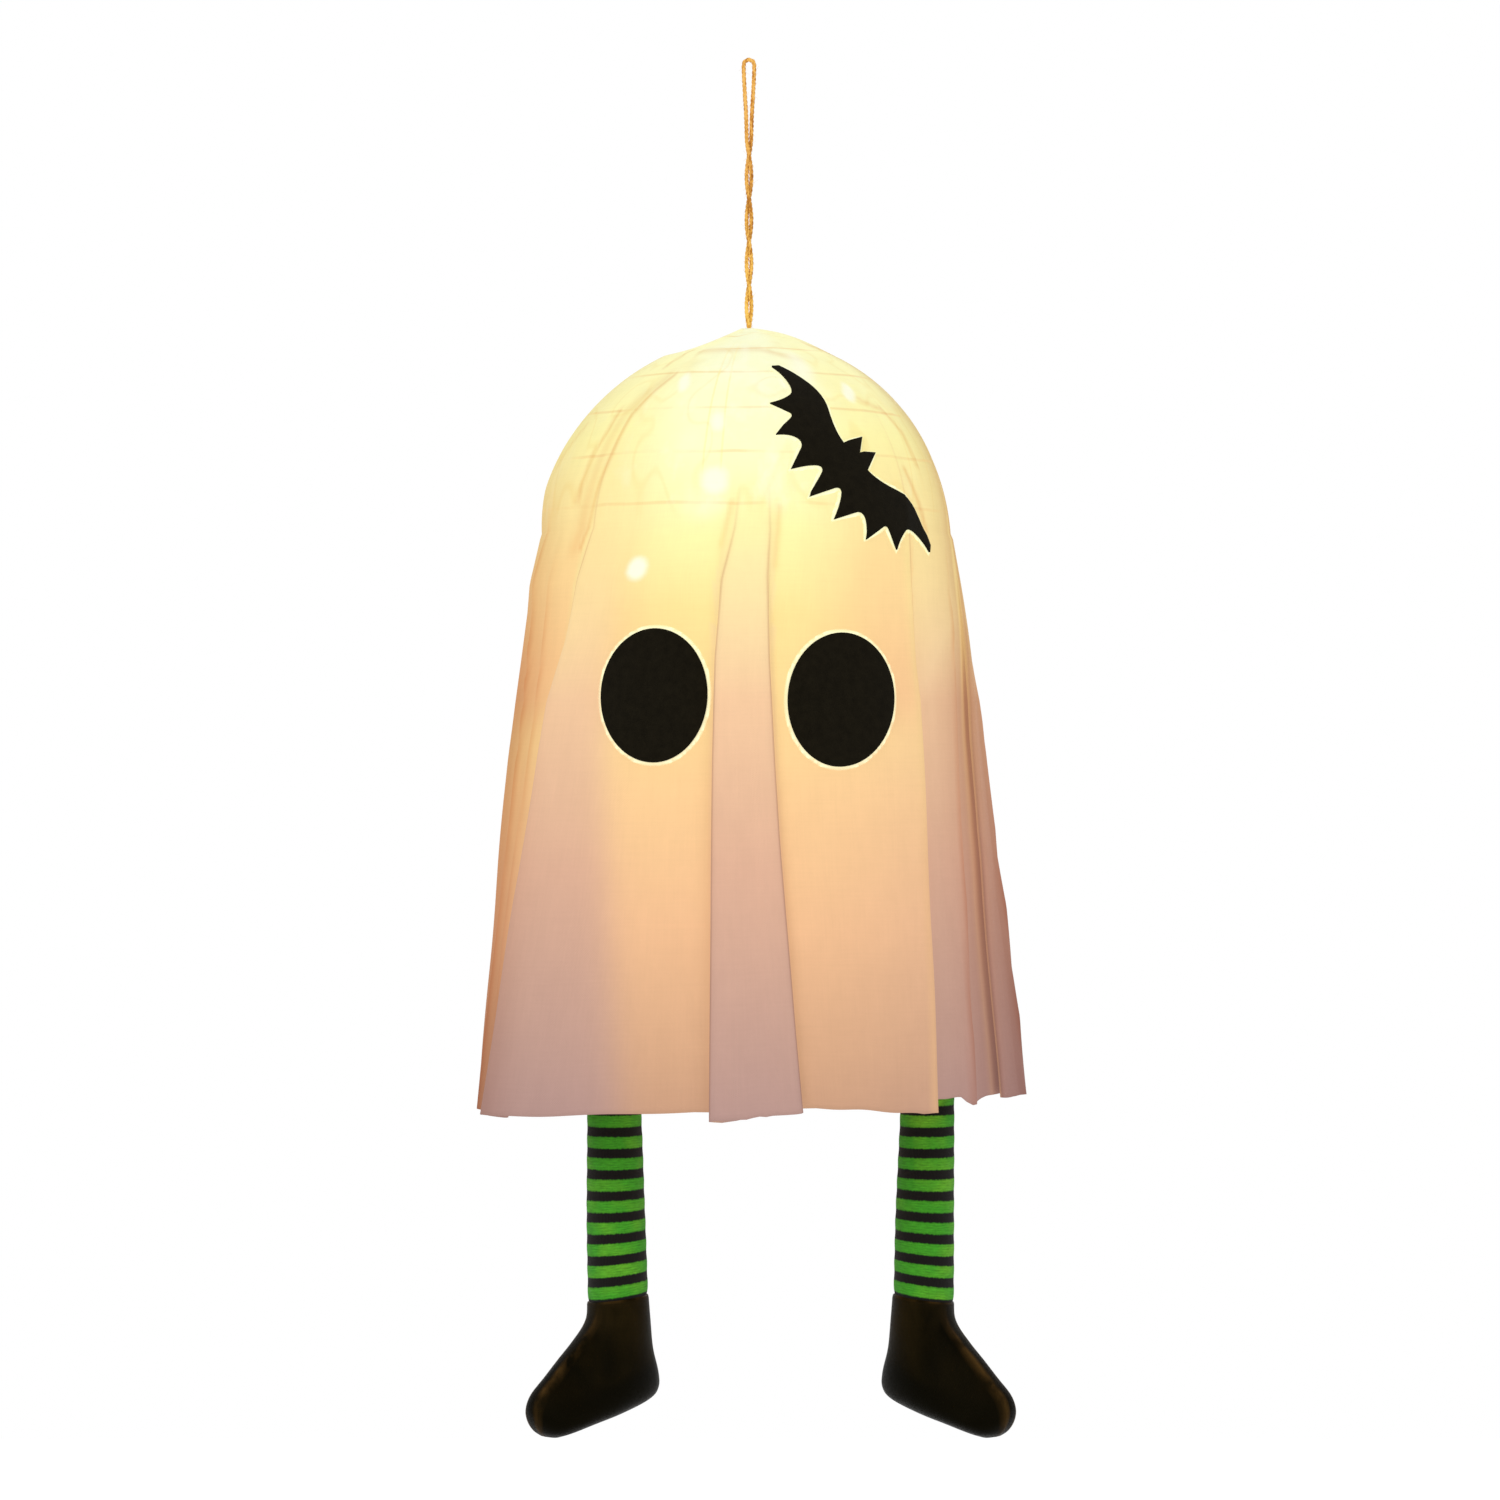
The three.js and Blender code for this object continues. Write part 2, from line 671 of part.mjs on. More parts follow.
// Lays a flat piece of felt on the cloth. aim gives, for a point of the flat piece, a point outside the
// cloth and the direction in which the felt is pressed on.
function layFelt(name, shape, curveSegments, aim, cloth, longest) {
  const cut = new THREE.ExtrudeGeometry(shape, { depth: feltThickness, bevelEnabled: false, curveSegments });
  cut.deleteAttribute("uv").deleteAttribute("normal");
  const felt = new TessellateModifier(longest, 12).modify(cut);
  const position = felt.attributes.position;
  const ray = new THREE.Raycaster();
  for (let i = 0; i < position.count; i++) {
    const { from, towards } = aim(position.getX(i), position.getY(i));
    ray.set(from, towards);
    const laid = ray.intersectObject(cloth)[0].point;
    laid.addScaledVector(towards, -feltSeat - position.getZ(i));
    position.setXYZ(i, laid.x, laid.y, laid.z);
  }
  add(name, mergeVertices(felt, 1e-3), material("felt", 0.95));
}

function makeFelt(cloth) {
  for (const [name, [x, z]] of Object.entries(eyeCentres)) {
    const oval = new THREE.Shape();
    oval.absellipse(0, 0, eyeWidth / 2, eyeHeight / 2, 0, 2 * PI, false, -rad(eyeTilt));
    const aim = (a, b) => ({ from: vec(x + a, -2 * lanternRadius, z + b), towards: vec(0, 1, 0) });
    layFelt(name, oval, 10, aim, cloth, 13);
  }
  const heart = vec(0, 0, -lanternDrop);
  const out = vec(0, -1, 0).applyAxisAngle(vec(1, 0, 0), -rad(batLatitude));
  out.applyAxisAngle(vec(0, 0, 1), rad(batAzimuth));
  const level = vec(0, 0, 1).cross(out).negate().normalize();
  const wing = level.negate().applyAxisAngle(out, -rad(batTurn));
  const ears = out.clone().cross(wing);
  const aim = (a, b) => {
    const reach = Math.hypot(a, b);
    const turn = reach / skinRadius;
    const side = wing.clone().multiplyScalar(a).addScaledVector(ears, b).normalize();
    const towards = out.clone().multiplyScalar(-cos(turn)).addScaledVector(side, -sin(turn));
    return { from: heart.clone().addScaledVector(towards, -2 * lanternRadius), towards };
  };
  layFelt("bat_patch", batShape(), 4, aim, cloth, 11);
}

// Battery box: it hangs under the bottom bar by a moulded hook, with its cover towards +X.

const bay = cellDiameter + 2 * cellRoom;
const caseInner = 2 * bay;
const caseWidth = caseInner + 2 * boxWall;
const cellsHeight = cellLength + springLength + 2 * contactThickness + 5 * seat;
const caseHeight = cellsHeight + partitionWall + switchBay + 2 * boxWall;
const channelDepth = bay;
const grooveWidth = coverThickness + 2 * seat;
const caseDepth = boxWall + channelDepth + grooveWidth + lipThickness;
const caseTopZ = barZ - stretcherWire / 2 - seat;
const caseLowZ = caseTopZ - caseHeight;
const caseMiddleY = boxSetBack + caseWidth / 2;
const cellsLowZ = caseLowZ + boxWall;
const cellsTopZ = cellsLowZ + cellsHeight;
const caseBackX = -caseDepth / 2;
const channelX = caseBackX + boxWall;
const coverX = channelX + channelDepth + seat;
const bayLowZ = cellsTopZ + partitionWall;
const bayMiddleZ = bayLowZ + switchBay / 2;
const bayWidth = caseInner - 10;
const knobStem = 2.2;

// An upright hook over the bar, open on its back so that it can be lifted on. Its foot stands inside the
// case's top.
function hookShape() {
  const inside = stretcherWire / 2 + seat;
  const outside = inside + hookThickness;
  const foot = caseTopZ - boxWall / 2;
  const shape = new THREE.Shape();
  shape.moveTo(outside, foot);
  shape.lineTo(outside, barZ);
  shape.absarc(0, barZ, outside, 0, PI);
  shape.lineTo(-outside, barZ - inside / 2);
  shape.lineTo(-inside, barZ - inside / 2);
  shape.lineTo(-inside, barZ);
  shape.absarc(0, barZ, inside, PI, 0, true);
  shape.lineTo(inside, foot);
  return shape;
}

// A profile in X and Z, pushed along Y.
function pushed(shape, fromY, length, curveSegments = 6) {
  const geometry = new THREE.ExtrudeGeometry(shape, { depth: length, bevelEnabled: false, curveSegments });
  return geometry.rotateX(PI / 2).translate(0, fromY + length, 0);
}

function makeCase() {
  const low = caseMiddleY - caseWidth / 2;
  const high = caseMiddleY + caseWidth / 2;
  const front = caseBackX + caseDepth;
  const inLow = low + boxWall;
  const inHigh = high - boxWall;
  const grooveX = channelX + channelDepth;
  const corner = 3;
  const outline = new THREE.Shape();
  outline.moveTo(caseBackX + corner, low);
  outline.lineTo(front - 1, low);
  outline.lineTo(front, low + 1);
  outline.lineTo(front, high - 1);
  outline.lineTo(front - 1, high);
  outline.lineTo(caseBackX + corner, high);
  outline.absarc(caseBackX + corner, high - corner, corner, PI / 2, PI);
  outline.absarc(caseBackX + corner, low + corner, corner, PI, 1.5 * PI);
  const cut = { depth: caseHeight, bevelEnabled: false, curveSegments: 3 };
  let body = solidOf(new THREE.ExtrudeGeometry(outline, cut).translate(0, 0, caseLowZ));
  const below = caseLowZ - 1;
  body = body.subtract(block(vec(channelX, inLow, cellsLowZ), vec(front + 1, inHigh, cellsTopZ)));
  body = body.subtract(block(vec(grooveX, inLow, below), vec(front + 1, inHigh, cellsTopZ)));
  const grooveLow = vec(grooveX, inLow - grooveDepth, below);
  const grooveHigh = vec(grooveX + grooveWidth, inHigh + grooveDepth, cellsTopZ);
  body = body.subtract(block(grooveLow, grooveHigh));
  const pocketLow = vec(channelX, caseMiddleY - bayWidth / 2, bayLowZ);
  const pocketHigh = vec(front - boxWall, caseMiddleY + bayWidth / 2, bayLowZ + switchBay);
  body = body.subtract(block(pocketLow, pocketHigh));
  const slotHalf = (knobWidth + knobTravel) / 2 + seat;
  const slotHigh = knobStem / 2 + seat;
  body = body.subtract(
    block(
      vec(front - boxWall - 1, caseMiddleY - slotHalf, bayMiddleZ - slotHigh),
      vec(front + 1, caseMiddleY + slotHalf, bayMiddleZ + slotHigh),
    ),
  );
  const lead = new THREE.CylinderGeometry(lampWire / 2 + seat, lampWire / 2 + seat, 3 * boxWall, 10);
  lead.rotateX(PI / 2).translate(leadIn, caseMiddleY + caseWidth / 4, caseTopZ);
  body = body.subtract(solidOf(lead));
  const dividerHalf = 0.6;
  const dividerTop = channelX + dividerHeight;
  body = body.add(
    block(
      vec(channelX - 1, caseMiddleY - dividerHalf, cellsLowZ + springLength + 2),
      vec(dividerTop, caseMiddleY + dividerHalf, cellsTopZ - springLength - 2),
    ),
  );
  body = body.add(solidOf(pushed(hookShape(), caseMiddleY - hookWidth / 2, hookWidth)));
  add("battery_case", geometryOf(body), material("casing", 0.45));
}

function makeCover() {
  const half = caseInner / 2 + grooveDepth - seat;
  const low = vec(coverX, caseMiddleY - half, caseLowZ);
  const high = vec(coverX + coverThickness, caseMiddleY + half, cellsTopZ - seat);
  let cover = block(low, high);
  const gripHalf = caseInner / 2 - 4;
  for (let i = 0; i < 3; i++) {
    const z = cellsTopZ - 6 - 3 * i;
    const from = vec(coverX + coverThickness - 0.5, caseMiddleY - gripHalf, z);
    const to = vec(coverX + coverThickness + 0.8, caseMiddleY + gripHalf, z + 1.2);
    cover = cover.add(block(from, to));
  }
  add("battery_cover", geometryOf(cover), material("casing", 0.45));
}

// The knob stands in its slot at the end where the lamps are on: a foot inside the wall, a stem and a cap.
function makeKnob() {
  const wallOut = caseBackX + caseDepth;
  const wallIn = wallOut - boxWall;
  const foot = knobStem / 2 + 1.4;
  const cap = knobStem / 2 + 0.9;
  const shape = new THREE.Shape();
  const stem = knobStem / 2;
  shape.moveTo(wallIn - seat - 1.5, -foot);
  shape.lineTo(wallIn - seat, -foot);
  shape.lineTo(wallIn - seat, -stem);
  shape.lineTo(wallOut + seat, -stem);
  shape.lineTo(wallOut + seat, -cap);
  shape.lineTo(wallOut + seat + 1.6, -cap);
  shape.lineTo(wallOut + seat + 1.6, cap);
  shape.lineTo(wallOut + seat, cap);
  shape.lineTo(wallOut + seat, stem);
  shape.lineTo(wallIn - seat, stem);
  shape.lineTo(wallIn - seat, foot);
  shape.lineTo(wallIn - seat - 1.5, foot);
  const fromY = caseMiddleY + knobTravel / 2 - knobWidth / 2;
  add("switch_knob", pushed(shape, fromY, knobWidth).translate(0, 0, bayMiddleZ), material("felt", 0.5));
}

function makeCells() {
  const radius = cellDiameter / 2;
  const profile = [
    [0, 0],
    [radius - 0.8, 0],
    [radius, 0.8],
    [radius, cellLength - nubLength - 0.8],
    [radius - 0.8, cellLength - nubLength],
    [nubDiameter / 2, cellLength - nubLength],
    [nubDiameter / 2, cellLength],
    [0, cellLength],
  ];
  const middleX = channelX + bay / 2;
  const platesX = [middleX - contactWidth / 2, middleX + contactWidth / 2];
  const lowPlate = cellsLowZ + seat;
  const highPlate = cellsTopZ - seat - contactThickness;
  const span = bay / 2 + contactWidth / 2;
  const plate = (name, fromY, toY, z) => {
    const low = vec(platesX[0], fromY, z);
    const high = vec(platesX[1], toY, z + contactThickness);
    const size = high.clone().sub(low);
    const shape = new THREE.BoxGeometry(size.x, size.y, size.z);
    shape.translate(middleX, (fromY + toY) / 2, z + contactThickness / 2);
    add(name, shape, material("spring", 0.3, 1));
  };
  plate("contact_bridge", caseMiddleY - span, caseMiddleY + span, lowPlate);
  [-1, 1].forEach((side, i) => {
    const y = caseMiddleY + (side * bay) / 2;
    const springDown = side < 0;
    const low = lowPlate + contactThickness + seat;
    const high = highPlate - seat;
    const cell = turned(profile, 14);
    if (!springDown) cell.rotateX(PI);
    const foot = springDown ? low + springLength + seat : low + cellLength;
    add(`battery_${i + 1}`, cell.translate(middleX, y, foot), material("cell", 0.35));
    plate(`contact_${i + 1}`, y - contactWidth / 2, y + contactWidth / 2, highPlate);
    const spring = springLine(springDown ? 1 : -1, springDown ? low : high);
    printGap(`contact spring ${i + 1}`, spring, springWire, 6);
    const placed = spring.map((p) => p.add(vec(middleX, y, 0)));
    add(`contact_spring_${i + 1}`, bar(placed, springWire / 2, 5), material("spring", 0.3, 1));
  });
}

// The middle of a contact spring's wire, from its wide end: way is 1 where the spring stands and -1 where it
// hangs.
function springLine(way, z) {
  const steps = 8 * springTurns;
  const points = [];
  for (let i = 0; i <= steps; i++) {
    const part = i / steps;
    const radius = springRadii.base + part * (springRadii.tip - springRadii.base);
    const turn = 2 * PI * springTurns * part;
    const rise = springWire / 2 + part * (springLength - springWire);
    points.push(vec(radius * cos(turn), radius * sin(turn), z + way * rise));
  }
  return points;
}

// Legs

const hangerTurn = stretcherWire / 2 + seat + hangerWire / 2;
const hipZ = barZ - hangerTurn - hangerFall;
const hipRingZ = hipZ + hangerWire / 2 + seat + hipRingWire / 2 - hipRingRadius;
const swayZ = hipRingZ - hipRingRadius;
const stockingTopZ = swayZ - loopLength - seat;

// One wire: up at the left end, along to the bar, once round it, and along to the right end.
function makeHanger() {
  const gap = hangerWire + hangerTurnGap;
  const steps = 10;
  const turn = [];
  for (let i = 0; i <= steps; i++) {
    const angle = (2 * PI * i) / steps;
    turn.push(vec(hangerTurn * sin(angle), gap * (i / steps - 0.5), barZ - hangerTurn * cos(angle)));
  }
  const arm = (side) => {
    const hip = legOffset + side * hipSpread;
    const end = hip + side * hangerEnd;
    return [
      vec(end, 0, hipZ + hangerTip),
      vec(end, 0, hipZ),
      vec(hip - side * 2 * hangerEnd, 0, hipZ),
      vec(side * 3 * hangerTurn, (side * gap) / 2, barZ - hangerTurn),
    ];
  };
  const left = bentLine([...arm(-1), turn[0]], wireBend).slice(0, -1);
  const right = bentLine([turn[steps], ...arm(1).reverse()], wireBend).slice(1);
  add("leg_hanger", bar([...left, ...turn, ...right], hangerWire / 2, 6), material("wire", 0.4, 0.9));
}

// The cord loop that is sewn to a stocking, from one end over the ring's wire to the other.
function loopLine(hip) {
  const arch = hipRingWire / 2 + seat + loopCord / 2;
  const points = [vec(hip - arch, 0, swayZ - loopLength), vec(hip - arch, 0, swayZ - 4)];
  for (let i = 0; i <= 6; i++) {
    const angle = PI * (1 - i / 6);
    points.push(vec(hip + arch * cos(angle), 0, swayZ + arch * sin(angle)));
  }
  points.push(vec(hip + arch, 0, swayZ - 4), vec(hip + arch, 0, swayZ - loopLength));
  return points;
}

// A stuffed stocking: level rings from the loop down to the ankle, the last one cut to the boot's slope.
function makeStocking(name, hip, ankle) {
  const top = vec(hip, 0, stockingTopZ);
  const rings = stockingRadii.map(([part, radius], row) => {
    const middle = top.clone().lerp(ankle, part);
    const sloped = row === stockingRadii.length - 1;
    const tilt = sloped ? Math.tan(rad(cuffSlope)) * Math.sign(ankle.x - legOffset) : 0;
    return Array.from({ length: stockingSides }, (_, i) => {
      const turn = (2 * PI * i) / stockingSides;
      const across = radius * cos(turn);
      return vec(middle.x + across, middle.y + radius * sin(turn), middle.z - tilt * across);
    }).reverse();
  });
  add(name, loft(rings), material("stocking", 0.9));
}

// A boot in its own upright plane, from the cuff to the toe. Each row holds the back point, the front point
// and the half width, from the middle of the cuff: [back forward, back up, front forward, front up, half
// width]. They are shares of the boot's reach, its height and its half width.
const bootRows = [
  [-0.293, 0, 0.293, 0, 0.885],
  [-0.29, -0.203, 0.371, -0.145, 0.874],
  [-0.305, -0.391, 0.495, -0.29, 0.862],
  [-0.343, -0.58, 0.657, -0.428, 0.885],
  [-0.381, -0.696, 0.8, -0.551, 0.92],
  [-0.305, -0.761, 0.933, -0.667, 0.977],
  [0, -0.826, 1, -0.768, 1],
  [0.324, -0.899, 1, -0.862, 0.92],
  [0.571, -0.964, 0.971, -0.942, 0.661],
  [0.724, -1, 0.895, -0.99, 0.287],
];
const bootSides = 14;

function makeBoot(name, ankle) {
  const side = Math.sign(ankle.x - legOffset);
  const forward = vec(side * sin(rad(toeOut)), -cos(rad(toeOut)), 0);
  const across = vec(0, 0, 1).cross(forward);
  const slope = Math.tan(rad(cuffSlope));
  const rings = bootRows.map(([back, backUp, front, frontUp, halfWidth], row) => {
    return Array.from({ length: bootSides }, (_, i) => {
      const turn = (2 * PI * i) / bootSides;
      const part = (1 - cos(turn)) / 2;
      const level = bootHeight * (backUp + part * (frontUp - backUp));
      const p = ankle.clone().addScaledVector(forward, bootReach * (back + part * (front - back)));
      p.addScaledVector(across, bootHalfWidth * halfWidth * sin(turn));
      const cuff = max(0, 1 - row / 2) * slope * side * (p.x - ankle.x);
      return p.add(vec(0, 0, level - seat - cuff));
    });
  });
  add(name, loft(rings), material("boot", 0.45));
}

function makeLegs() {
  for (const [name, side] of [["left", -1], ["right", 1]]) {
    const hip = legOffset + side * hipSpread;
    const ankle = vec(legOffset + side * ankleSpread, ankleSetBack, -ankleDrop);
    const ring = new THREE.TorusGeometry(hipRingRadius, hipRingWire / 2, 5, 14).rotateY(PI / 2);
    add(`${name}_hip_ring`, ring.translate(hip, 0, hipRingZ), material("wire", 0.4, 0.9));
    add(`${name}_leg_loop`, bar(loopLine(hip), loopCord / 2, 6), material("cord", 0.9));
    makeStocking(`${name}_stocking`, hip, ankle);
    makeBoot(`${name}_boot`, ankle);
  }
}

makeTwine();
makeKnot();
makePaper();
makeRibs();
makeStretcher();
makeLamps();
const cloth = makeCloth();
makeFelt(cloth);
makeCase();
makeCover();
makeKnob();
makeCells();
makeHanger();
makeLegs();

export default parts;
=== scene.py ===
"""The finished look of a light-up hanging ghost. A cloth is draped over a round paper lantern, with felt
eyes, a felt bat and two striped, stuffed legs in boots. Lengths are in metres where nothing else is said."""

import math
from typing import NamedTuple

import bmesh
import bpy
import numpy as np
from bpy.props import FloatProperty, FloatVectorProperty, IntProperty, PointerProperty
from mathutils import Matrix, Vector
from mathutils.bvhtree import BVHTree
from mathutils.geometry import delaunay_2d_cdt


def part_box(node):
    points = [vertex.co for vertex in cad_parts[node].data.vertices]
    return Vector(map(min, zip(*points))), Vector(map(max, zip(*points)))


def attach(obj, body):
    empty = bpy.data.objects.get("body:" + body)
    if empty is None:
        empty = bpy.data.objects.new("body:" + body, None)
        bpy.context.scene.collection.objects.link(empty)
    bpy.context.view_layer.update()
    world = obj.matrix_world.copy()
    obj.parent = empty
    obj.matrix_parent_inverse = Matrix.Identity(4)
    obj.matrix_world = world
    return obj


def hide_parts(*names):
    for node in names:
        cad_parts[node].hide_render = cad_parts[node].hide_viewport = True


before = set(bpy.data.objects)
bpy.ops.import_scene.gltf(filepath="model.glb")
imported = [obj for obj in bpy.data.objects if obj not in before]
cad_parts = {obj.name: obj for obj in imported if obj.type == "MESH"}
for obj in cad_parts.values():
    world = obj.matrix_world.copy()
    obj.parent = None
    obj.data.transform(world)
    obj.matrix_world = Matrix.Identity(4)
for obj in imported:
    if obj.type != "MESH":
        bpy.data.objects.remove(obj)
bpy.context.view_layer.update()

bl_info = {
    "name": "Hanging Ghost",
    "version": (1, 0, 0),
    "blender": (4, 5, 0),
    "location": "View3D > Sidebar > Ghost",
    "description": "Builds a lit cloth ghost round its lantern, wires and legs",
    "category": "Add Mesh",
}

MM = 0.001
FULL_TURN = 2 * math.pi


def linear(red, green, blue):
    """A colour as a picture shows it, 0 to 255, as the linear values that a shader takes."""
    return tuple(((c / 255 + 0.055) / 1.055) ** 2.4 if c > 10 else c / 255 / 12.92
                 for c in (red, green, blue))


# Places read from the parts in model.glb

def middle_of(node):
    low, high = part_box(node)
    return (low + high) / 2


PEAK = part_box("ghost_cloth")[1].z
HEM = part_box("ghost_cloth")[0].z
LANTERN = middle_of("lantern_paper")
PAPER_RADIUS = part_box("lantern_paper")[1].x
CLOTH_RADIUS = PAPER_RADIUS + 3 * MM  # of the middle of the cloth over the lantern
KNOT_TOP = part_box("hang_knot")[1].z
RIB_COUNT = sum(name.startswith("rib_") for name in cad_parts)
LAMPS = sorted(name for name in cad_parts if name.startswith("lamp_") and name != "lamp_string")
MOUTH_LATITUDE = 66  # degrees, of the lantern's end rings
RIB_PITCH = 2 * MOUTH_LATITUDE / (RIB_COUNT + 1)  # degrees from one rib to the next
SIDES = {"left": -1, "right": 1}

# The view of the photograph. The camera stands there, and the pixels in the tables are placed by it.
VIEW_DISTANCE = 2.2
VIEW_WIDTH = 0.75
VIEW_HEIGHT = -0.344
VIEW_ASIDE = 0.5 * MM
PHOTO_SIZE = 1500  # pixels


# Settings

def length_setting(name, description, default, **more):
    return FloatProperty(
        name=name, description=description, default=default, unit="LENGTH", precision=4, **more)


def angle_setting(name, description, degrees):
    return FloatProperty(name=name, description=description, default=math.radians(degrees), subtype="ANGLE")


def share_setting(name, description, default, **more):
    return FloatProperty(name=name, description=description, default=default, min=0, subtype="FACTOR", **more)


def colour_setting(name, description, *levels):
    return FloatVectorProperty(
        name=name, description=description, default=linear(*levels), subtype="COLOR", size=3)


class StageSettings(bpy.types.PropertyGroup):
    distance: length_setting("Distance", "From the camera to the lantern's axis", VIEW_DISTANCE)
    width: length_setting("View Width", "Seen across at the lantern's axis", VIEW_WIDTH)
    height: length_setting("Height", "Of the camera", VIEW_HEIGHT)
    aside: length_setting("Aside", "Of the camera, to the right", VIEW_ASIDE)
    floor: length_setting("Floor", "Height of the floor", -2.1)
    sky: FloatProperty(name="Sky", description="Strength of the soft light all round", default=0.7, min=0)
    key: FloatProperty(name="Key", description="Power of the soft lamp in front", default=28, min=0)


class TwineSettings(bpy.types.PropertyGroup):
    diameter: length_setting("Diameter", "Of the twine", 2.2 * MM, min=0.5 * MM)
    gap: length_setting("Gap", "Between the two strands where they run together", 0.15 * MM)
    loop_half: length_setting("Loop", "Half the width of the open loop", 2.6 * MM)
    split: length_setting("Split", "From the hook down to where the strands meet", 36 * MM)
    turns: FloatProperty(name="Turns", description="Of one strand round the other", default=2.5)
    lay: length_setting("Lay", "Length of one turn of the plies", 7 * MM)
    fibres: IntProperty(name="Loose Fibres", description="How many stand out", default=260, min=0)
    colour: colour_setting("Colour", "Of the jute", 226, 163, 76)
    # Painted light: the jute takes this colour near the lit dome.
    lit_colour: colour_setting("Lit Colour", "Of the jute just over the dome", 242, 192, 84)


class ClothSettings(bpy.types.PropertyGroup):
    thickness: length_setting("Thickness", "Of the cloth", 0.8 * MM, min=0.2 * MM)
    lift: length_setting("Pleat Lift", "From one layer of a pleat to the next", 7 * MM)
    thread: length_setting("Thread Pitch", "From one thread to the next", 0.5 * MM)
    # The glow is painted light: an emission that stands in for the lamps' light through the cloth.
    glow: share_setting("Glow", "Share of the colour that the lamps give", 0.55, max=1)


class FeltSettings(bpy.types.PropertyGroup):
    eye_width: length_setting("Eye Width", "Across an eye", 50.5 * MM)
    eye_height: length_setting("Eye Height", "Of an eye", 64 * MM)
    eye_tilt: angle_setting("Eye Tilt", "Of the eyes, tops to the left", 2.5)
    thickness: length_setting("Thickness", "Of the felt", 1 * MM)
    web: length_setting("Bonding Web", "How far the bonding web shows round the felt", 2 * MM)
    bat_azimuth: angle_setting("Bat Azimuth", "Round the dome from the front", 30.5)
    bat_latitude: angle_setting("Bat Latitude", "Above the lantern's middle", 19.5)
    bat_turn: angle_setting("Bat Turn", "Its right wing down", 54)
    colour: colour_setting("Colour", "Of the felt", 17, 14, 7)


class LanternSettings(bpy.types.PropertyGroup):
    # The paper's glow is painted light: an emission that stands in for the lamps' light through it.
    paper_glow: share_setting("Paper Glow", "Light that the paper gives", 0.35)
    lamp_strength: FloatProperty(name="Lamp Strength", description="Light of each lamp", default=1.5, min=0)


class BoxSettings(bpy.types.PropertyGroup):
    casing: colour_setting("Casing", "Of the battery box", 238, 237, 230)
    wrap: colour_setting("Cell Wrap", "Of the batteries", 52, 84, 128)


class StockingSettings(bpy.types.PropertyGroup):
    stripe: length_setting("Stripe Pitch", "One black and one green stripe", 10.6 * MM)
    black_share: share_setting("Black Share", "Of each pair of stripes", 0.46, max=1)
    ankle: length_setting("Ankle", "Height of the ankles", -617 * MM)
    green: colour_setting("Green", "Of the light stripes", 62, 148, 34)
    black: colour_setting("Black", "Of the dark stripes", 15, 13, 10)


class BootSettings(bpy.types.PropertyGroup):
    cuff_slope: angle_setting("Cuff Slope", "Of the boots' top edge", 8)
    toe_out: angle_setting("Toe Out", "How far the toes point sideways", 56)
    # The brown shows partly as painted sheen on the boots' upper.
    colour: colour_setting("Colour", "Of the boots' coated cloth", 27, 20, 6)


# Mesh helpers

def mesh_object(name, points, faces, loop_uvs=None):
    mesh = bpy.data.meshes.new(name)
    mesh.from_pydata([tuple(p) for p in points], [], [tuple(f) for f in faces])
    if loop_uvs is not None:
        mesh.uv_layers.new(name="UVMap").data.foreach_set("uv", np.asarray(loop_uvs, np.float32).ravel())
    mesh.polygons.foreach_set("use_smooth", [True] * len(mesh.polygons))
    made = bpy.data.objects.new(name, mesh)
    bpy.context.scene.collection.objects.link(made)
    return made


def face_out(piece):
    """Turns the faces of a closed piece outward."""
    shape = bmesh.new()
    shape.from_mesh(piece.data)
    bmesh.ops.recalc_face_normals(shape, faces=shape.faces)
    shape.to_mesh(piece.data)
    shape.free()
    return piece


def loft(name, rings, capped=True):
    """Rows of points joined into one skin. Its UVs are metres round the widest row and metres along."""
    rings = np.asarray(rings, float)
    rows, sides, _ = rings.shape
    points = rings.reshape(-1, 3)
    around = np.linalg.norm(np.roll(rings, -1, 1) - rings, axis=2).sum(1).max()
    steps = np.linalg.norm(np.diff(rings, axis=0), axis=2).mean(1)
    down = np.concatenate([[0], np.cumsum(steps)])
    i, j = (grid.ravel() for grid in np.meshgrid(np.arange(rows - 1), np.arange(sides), indexing="ij"))
    on = (j + 1) % sides
    faces = np.stack([i * sides + j, (i + 1) * sides + j, (i + 1) * sides + on, i * sides + on], 1).tolist()
    left, right = j / sides * around, (j + 1) / sides * around
    corners = [[left, down[i]], [left, down[i + 1]], [right, down[i + 1]], [right, down[i]]]
    uvs = np.stack([np.stack(corner, 1) for corner in corners], 1).reshape(-1, 2).tolist()
    if capped:
        points = np.vstack([points, rings[0].mean(0), rings[-1].mean(0)])
        for row, tip, flip in ((0, len(points) - 2, False), (rows - 1, len(points) - 1, True)):
            for k in range(sides):
                pair = (row * sides + k, row * sides + (k + 1) % sides)
                faces.append([tip, *(pair[::-1] if flip else pair)])
                uvs += [[around * k / sides, down[row]]] * 3
    made = mesh_object(name, points, faces, uvs)
    return face_out(made) if capped else made


def mark(piece, name, values):
    """Stores one value per point for the piece's material."""
    attribute = piece.data.attributes.new(name, "FLOAT", "POINT")
    attribute.data.foreach_set("value", np.asarray(values, np.float32).ravel())


def carried_frames(path):
    """Tangent and two square directions at each point, each carried on from the one before."""
    tangents = np.gradient(path, axis=0)
    tangents /= np.linalg.norm(tangents, axis=1)[:, None]
    across = np.cross(tangents[0], [0.3, 0.9, 0.2])
    sides = []
    for tangent in tangents:
        across = across - tangent * (across @ tangent)
        across = across / np.linalg.norm(across)
        sides.append(across)
    sides = np.array(sides)
    return tangents, sides, np.cross(tangents, sides)


def lengths_along(path):
    """How far along a line each of its points lies."""
    return np.concatenate([[0], np.cumsum(np.linalg.norm(np.diff(path, axis=0), axis=1))])


